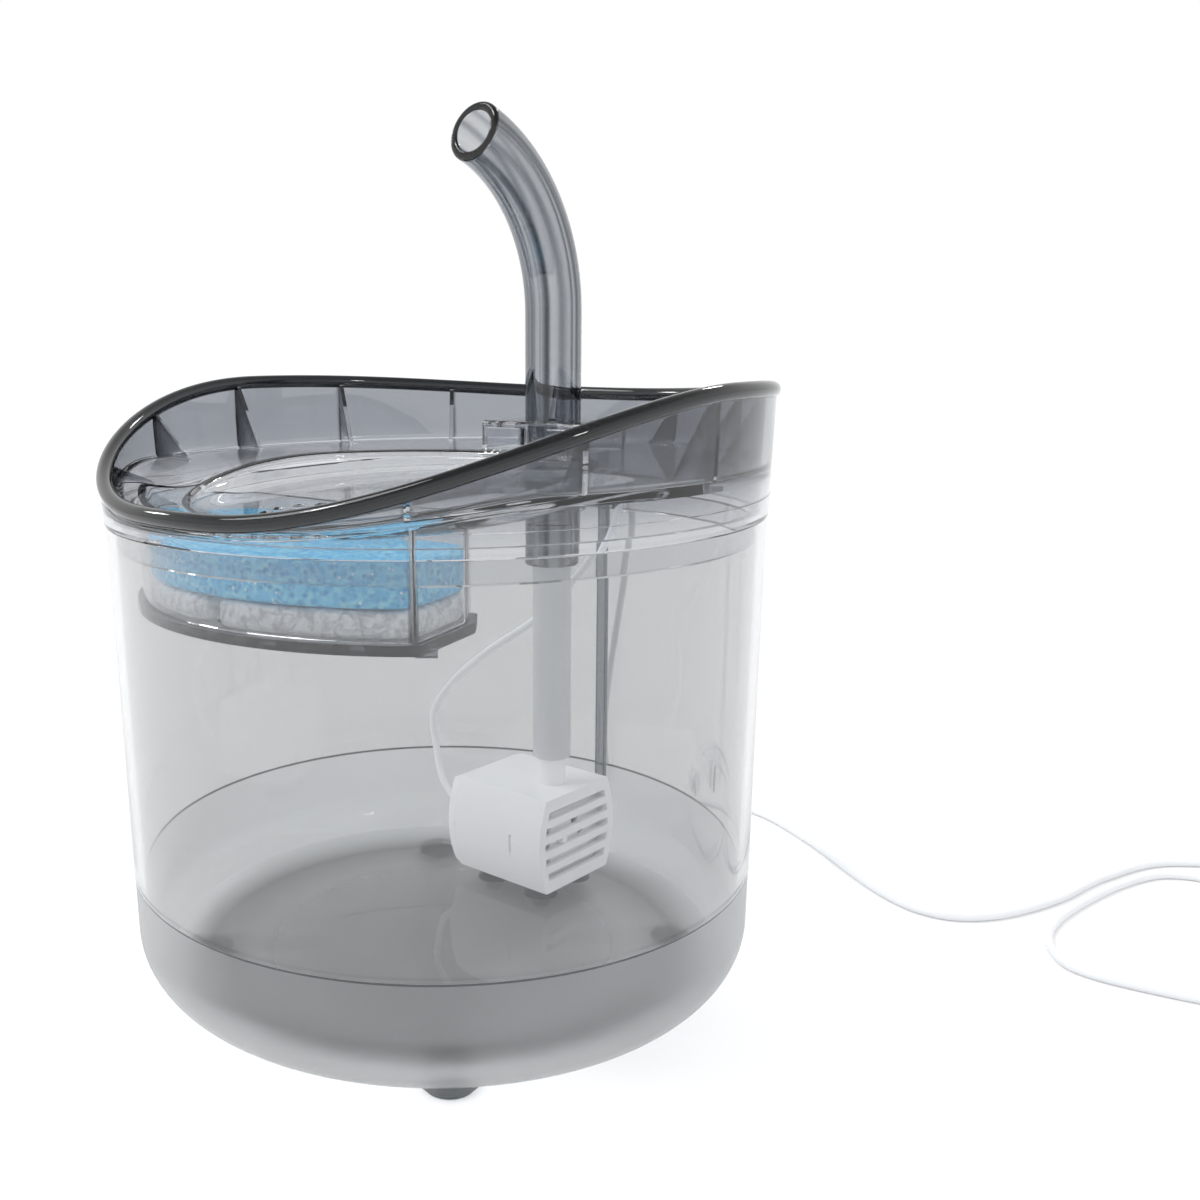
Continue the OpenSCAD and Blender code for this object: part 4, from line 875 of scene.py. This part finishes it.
# Pump: three mouldings of white ABS, with the flow slider behind the grille and four silicone cups below.
# ABS, moulded in a fine-grained tool: satin white. Its 0.1 mm grain is drawn 0.5 mm wide to show.
abs_white = new_material("white_abs", {"Base Color": colour("fafafb"), "Roughness": 0.34})
abs_grain = node(abs_white, "ShaderNodeTexNoise", {
    "Vector": object_place(abs_white), "Scale": 1000 / 0.5, "Detail": 2.0})
bump(abs_white, abs_grain.outputs["Fac"], 0.008)

# Shallow cuts in the pump's face towards the drinking side: the slit in the case and the latch of the back
# cap. Each is its range in X, its range in height over the axis, and its depth.
pump_axis_mm, pump_side_mm = 25, 32
pump_cuts = {"pump_case": ((-1.9, -1.0), (-3.4, 2.4), 1.2),
             "pump_back_cap": ((-29.5, -24.4), (-0.4, 0.0), 0.3)}
for name, edge_mm in (("pump_case", 0.5), ("pump_back_cap", 0.4), ("pump_grille", 0.3), ("flow_slider", 0.2)):
    moulding = rounded_copy(name, edge_mm)
    if name in pump_cuts:
        (x_low, x_high), (low, high), depth = pump_cuts[name]
        combine(moulding, block("cut", (x_low, pump_side_mm - 1, pump_axis_mm + low),
                                (x_high, pump_side_mm + depth, pump_axis_mm + high)), "DIFFERENCE")
        shade(moulding, 50)
    dress(moulding, abs_white, body_of(nodes[name])[0], "white_plastic", name)

# Silicone, moulded. The cups and feet are clear and look grey where they are thick. The seals are milky.
clear_silicone = new_material("clear_silicone", {
    "Base Color": colour("7d8588"), "Roughness": 0.3, "IOR": 1.41, "Transmission Weight": 0.8},
    shadow="c8cccc")
silicone = new_material("milky_silicone", {
    "Base Color": colour("eceeef"), "Roughness": 0.42, "IOR": 1.41, "Subsurface Weight": 0.4,
    "Subsurface Radius": (0.003, 0.003, 0.003)})
for name in ("suction_cups", "tank_feet"):
    dress_copy(name, 0.4, clear_silicone, "pad_rubber")
dress(tap_seal, silicone, "tap_ring", "seal_rubber", "faucet_seal")


# Inside the pump: a ferrite rotor with its impeller on a ceramic pin, and the sealed motor behind the well.
# Sintered ferrite is a dull dark grey, ground zirconia a glossy ivory and rubber a matt black. The core's
# sheets of 0.5 mm and the coils' wires of 0.25 mm show as fine lines, and the board has a satin green mask.
ferrite = new_material("ferrite", {"Base Color": colour("2a2a2c"), "Roughness": 0.5, "Metallic": 0.3})
zirconia = new_material("ceramic", {"Base Color": colour("eeede6"), "Roughness": 0.2})
rubber = new_material("black_rubber", {"Base Color": colour("161616"), "Roughness": 0.7})
steel = new_material("sheet_steel", {"Base Color": colour("8c9096"), "Roughness": 0.4, "Metallic": 1.0})
sheets = node(steel, "ShaderNodeTexWave", {"Vector": object_place(steel), "Scale": 1000 / 0.5 / 6.28},
              bands_direction="X")
bump(steel, sheets.outputs["Fac"], 0.1)
copper = new_material("enamelled_copper", {"Base Color": colour("b4672f"), "Roughness": 0.3, "Metallic": 1.0})
wires = node(copper, "ShaderNodeTexWave", {"Vector": object_place(copper), "Scale": 1000 / 0.25 / 6.28},
             bands_direction="Y")
bump(copper, wires.outputs["Fac"], 0.1)
board = new_material("green_board", {"Base Color": colour("1f6b3f"), "Roughness": 0.35})
for name, edge_mm, material, slot_name in (
        ("chamber_cover", 0.2, abs_white, "white_plastic"), ("chamber_seal", 0.2, silicone, "seal_rubber"),
        ("impeller", 0.15, abs_white, "white_plastic"), ("rotor_magnet", 0.3, ferrite, "magnet"),
        ("impeller_shaft", 0.15, zirconia, "ceramic"), ("shaft_bushes", 0.2, rubber, "black_rubber"),
        ("stator_core", 0.1, steel, "laminations"), ("stator_coils", 0.6, copper, "copper_wire"),
        ("driver_board", 0.1, board, "circuit_board")):
    dress_copy(name, edge_mm, material, slot_name)


# Cable guide: a thin smoky bar with a wide head that hangs from the lid behind the riser, beside the cable.
dress_copy("cable_guide", 0.4, smoky_plate, "smoky_plastic")


# Cable: one white vinyl lead from the pump's gland over the rim, along the table and into a coil with a tie.
cable_mm = 2.4
route = [(-31, 47, 25), (-37, 47, 25.6), (-45, 48, 31), (-51, 51, 42), (-52.5, 52, 53), (-44.5, 54, 65),
         (-32, 58, 76.5), (-19, 65, 87), (-9, 73, 100), (-2.6, 77.6, 110.5), (0.5, 81.2, 120.5),
         (0.8, 83.5, 125.8), (0.8, 87.7, 127.6), (0.7, 91.9, 125.8), (0.3, 93.7, 121.5), (-4, 97.5, 103),
         (-19, 109, 59), (-27, 118, 32), (-30, 128, 12), (-24, 140, 2.4), (-8, 155, 1.2), (10, 160.5, 1.2),
         (38, 148, 1.2), (76, 124, 1.2), (96, 119.5, 1.2), (110, 130, 1.2), (120, 154, 1.2),
         (125.5, 182, 1.2), (137, 209, 1.2), (164, 223.3, 1.2), (196, 217.6, 1.2), (215.8, 192, 1.2),
         (215.8, 156, 1.2), (196, 126, 1.2), (148, 111, 1.2), (131, 119, 1.2), (125.5, 142, 1.2),
         (132, 182, 1.2), (144, 201, 1.2), (172, 203.2, 1.2)]
end_route = [(190.5, 197, 2.2), (196, 191.6, 2.8), (199.3, 186.6, 3.6), (200, 181, 3.8)]
coil_centre = (172, 190)
coil_slots = [(13.2, 1.2), (10.8, 1.8), (10.8, 4.1), (12.0, 6.1), (14.4, 6.1), (15.6, 4.1), (15.6, 1.8),
              (18, 1.8)]


def through(points, step_mm=0.8):
    """Smooth line through points: uniform Catmull-Rom pieces, with the end points mirrored outwards."""
    p = np.array(points, float)
    p = np.vstack([2 * p[0] - p[1], p, 2 * p[-1] - p[-2]])
    line = []
    for a, b, c, d in zip(p[:-3], p[1:-2], p[2:-1], p[3:]):
        n = max(3, int(np.linalg.norm(c - b) / step_mm))
        t = np.linspace(0, 1, n, endpoint=False)[:, None]
        line.append(0.5 * (2 * b + (c - a) * t + (2 * a - 5 * b + 4 * c - d) * t ** 2
                           + (3 * b - a - 3 * c + d) * t ** 3))
    line = np.vstack([*line, p[-2:-1]])
    line[:, 2] = np.maximum(line[:, 2], cable_mm / 2)
    return line


def coil_line(step_deg=4):
    """Clockwise turns from the top of the coil. Each turn keeps its place in the bundle, (radius, height),
    and changes to the next one during its first eighth, along half a cosine wave."""
    degrees = np.arange(0, 6 * 360 + 45 + step_deg / 2, step_deg)
    turns, within = np.divmod(degrees, 360)
    slots = np.array(coil_slots)
    now, then = slots[turns.astype(int)], slots[turns.astype(int) + 1]
    place = now + (then - now) * ease(within, 0, 45, 0.0, 1.0)[:, None]
    a = np.radians(90 - degrees)
    return np.stack([coil_centre[0] + place[:, 0] * np.cos(a), coil_centre[1] + place[:, 0] * np.sin(a),
                     place[:, 1]], -1)


coil = coil_line()
cable_line = np.vstack([through(route)[:-1], coil[:-1], through([tuple(coil[-1]), *end_route])]) * mm
cable_data = bpy.data.curves.new("cable", "CURVE")
cable_data.dimensions = "3D"
cable_data.bevel_depth = cable_mm / 2 * mm
cable_data.bevel_resolution = 4
cable_data.use_fill_caps = True
spline = cable_data.splines.new("POLY")
spline.points.add(len(cable_line) - 1)
spline.points.foreach_set("co", np.column_stack([cable_line, np.ones(len(cable_line))]).ravel())
spline.use_smooth = True
cable = placed("cable", cable_data)

# PVC, extruded over the wires: white, with a soft sheen and slow waves of about 3 mm. The plug's shell is
# stamped steel, which its nickel makes bright.
pvc = new_material("white_pvc", {
    "Base Color": colour("f3f4f5"), "Roughness": 0.32, "Subsurface Weight": 0.1,
    "Subsurface Radius": (0.001, 0.001, 0.001)})
pvc_skin = node(pvc, "ShaderNodeTexNoise", {"Vector": object_place(pvc), "Scale": 1000 / 3})
bump(pvc, pvc_skin.outputs["Fac"], 0.05)
dress(cable, pvc, "base", "cable", "pump_cable", "cable_coil", "cable_end")
nickel = new_material("nickel_plated_steel", {
    "Base Color": colour("c9cbce"), "Roughness": 0.25, "Metallic": 1.0})
for name, edge_mm, material, slot_name in (
        ("cable_gland", 0.3, pvc, "cable"), ("coil_tie", 0.15, rubber, "black_rubber"),
        ("usb_plug_body", 1.0, abs_white, "cable"), ("usb_shell", 0.2, nickel, "plug_shell")):
    dress_copy(name, edge_mm, material, slot_name)


# Stage: a white table with only the soft shadow left, and a white room that grows darker overhead.
def seen_rays(material):
    """1 for the rays that look at the background: from the camera, or by way of a mirror or glass."""
    return ray_is(material, "Is Camera Ray", "Is Glossy Ray", "Is Transmission Ray")


table_mesh = bpy.data.meshes.new("table")
table_mesh.from_pydata([(x, y, -0.0001) for x, y in ((-6, -6), (6, -6), (6, 6), (-6, 6))], [], [(0, 1, 2, 3)])
table = placed("table", table_mesh)
tabletop = bpy.data.materials.new("white_tabletop")
tabletop.use_nodes = True
tabletop.node_tree.nodes.clear()
matte = node(tabletop, "ShaderNodeBsdfDiffuse", {"Color": (0.8, 0.8, 0.8, 1)})
glow_amount = node(tabletop, "ShaderNodeMath", {0: seen_rays(tabletop), 1: 0.2}, operation="MULTIPLY")
glow = node(tabletop, "ShaderNodeEmission", {"Strength": glow_amount.outputs[0]})
lit_table = node(tabletop, "ShaderNodeAddShader", {0: matte.outputs[0], 1: glow.outputs[0]})
node(tabletop, "ShaderNodeOutputMaterial", {"Surface": lit_table.outputs[0]})
table_mesh.materials.append(tabletop)

world = bpy.data.worlds.new("white_room")
scene.world = world
world.use_nodes = True
world.node_tree.nodes.clear()
from_camera = ray_is(world, "Is Camera Ray")
view_from = node(world, "ShaderNodeTexCoord")
height = node(world, "ShaderNodeSeparateXYZ", {"Vector": view_from.outputs["Generated"]})
overhead = node(world, "ShaderNodeMapRange", {"Value": height.outputs["Z"], "From Min": 0.3, "From Max": 0.95,
                                              "To Min": 1.0, "To Max": 0.35}, interpolation_type="SMOOTHSTEP")
room_seen = node(world, "ShaderNodeMix", data_type="RGBA", inputs={
    "Factor": from_camera, "A": overhead.outputs["Result"], "B": (1, 1, 1, 1)})
room_light = node(world, "ShaderNodeMix", data_type="RGBA", inputs={
    "Factor": seen_rays(world), "A": (0.85, 0.86, 0.88, 1), "B": room_seen.outputs[2]})
background = node(world, "ShaderNodeBackground", {"Color": room_light.outputs[2], "Strength": 1.0})
node(world, "ShaderNodeOutputWorld", {"Surface": background.outputs[0]})


def lamp(name, kind, at, power, **spread):
    """Lamp at a place in metres that faces the object's middle. The spread is an area's size in metres, or
    the angle that the sun fills."""
    data = bpy.data.lights.new(name, kind)
    data.energy = power
    for setting, value in spread.items():
        setattr(data, setting, value)
    holder = bpy.data.objects.new(name, data)
    holder.location = at
    holder.rotation_euler = (Vector(at) - Vector((0, 0, 0.1))).to_track_quat("Z", "Y").to_euler()
    scene.collection.objects.link(holder)


lamp("sun", "SUN", (-0.5, -0.45, 1.1), 0.8, angle=math.radians(30))
lamp("key", "AREA", (-0.5, -0.7, 1.3), 2, size=0.14)
lamp("side", "AREA", (1.1, -0.2, 0.8), 1, size=0.1)
lamp("window", "AREA", (-1.0, -0.3, 0.75), 1.5, size=0.16)
lamp("back", "AREA", (-0.2, 1.1, 1.0), 1.5, size=0.14)
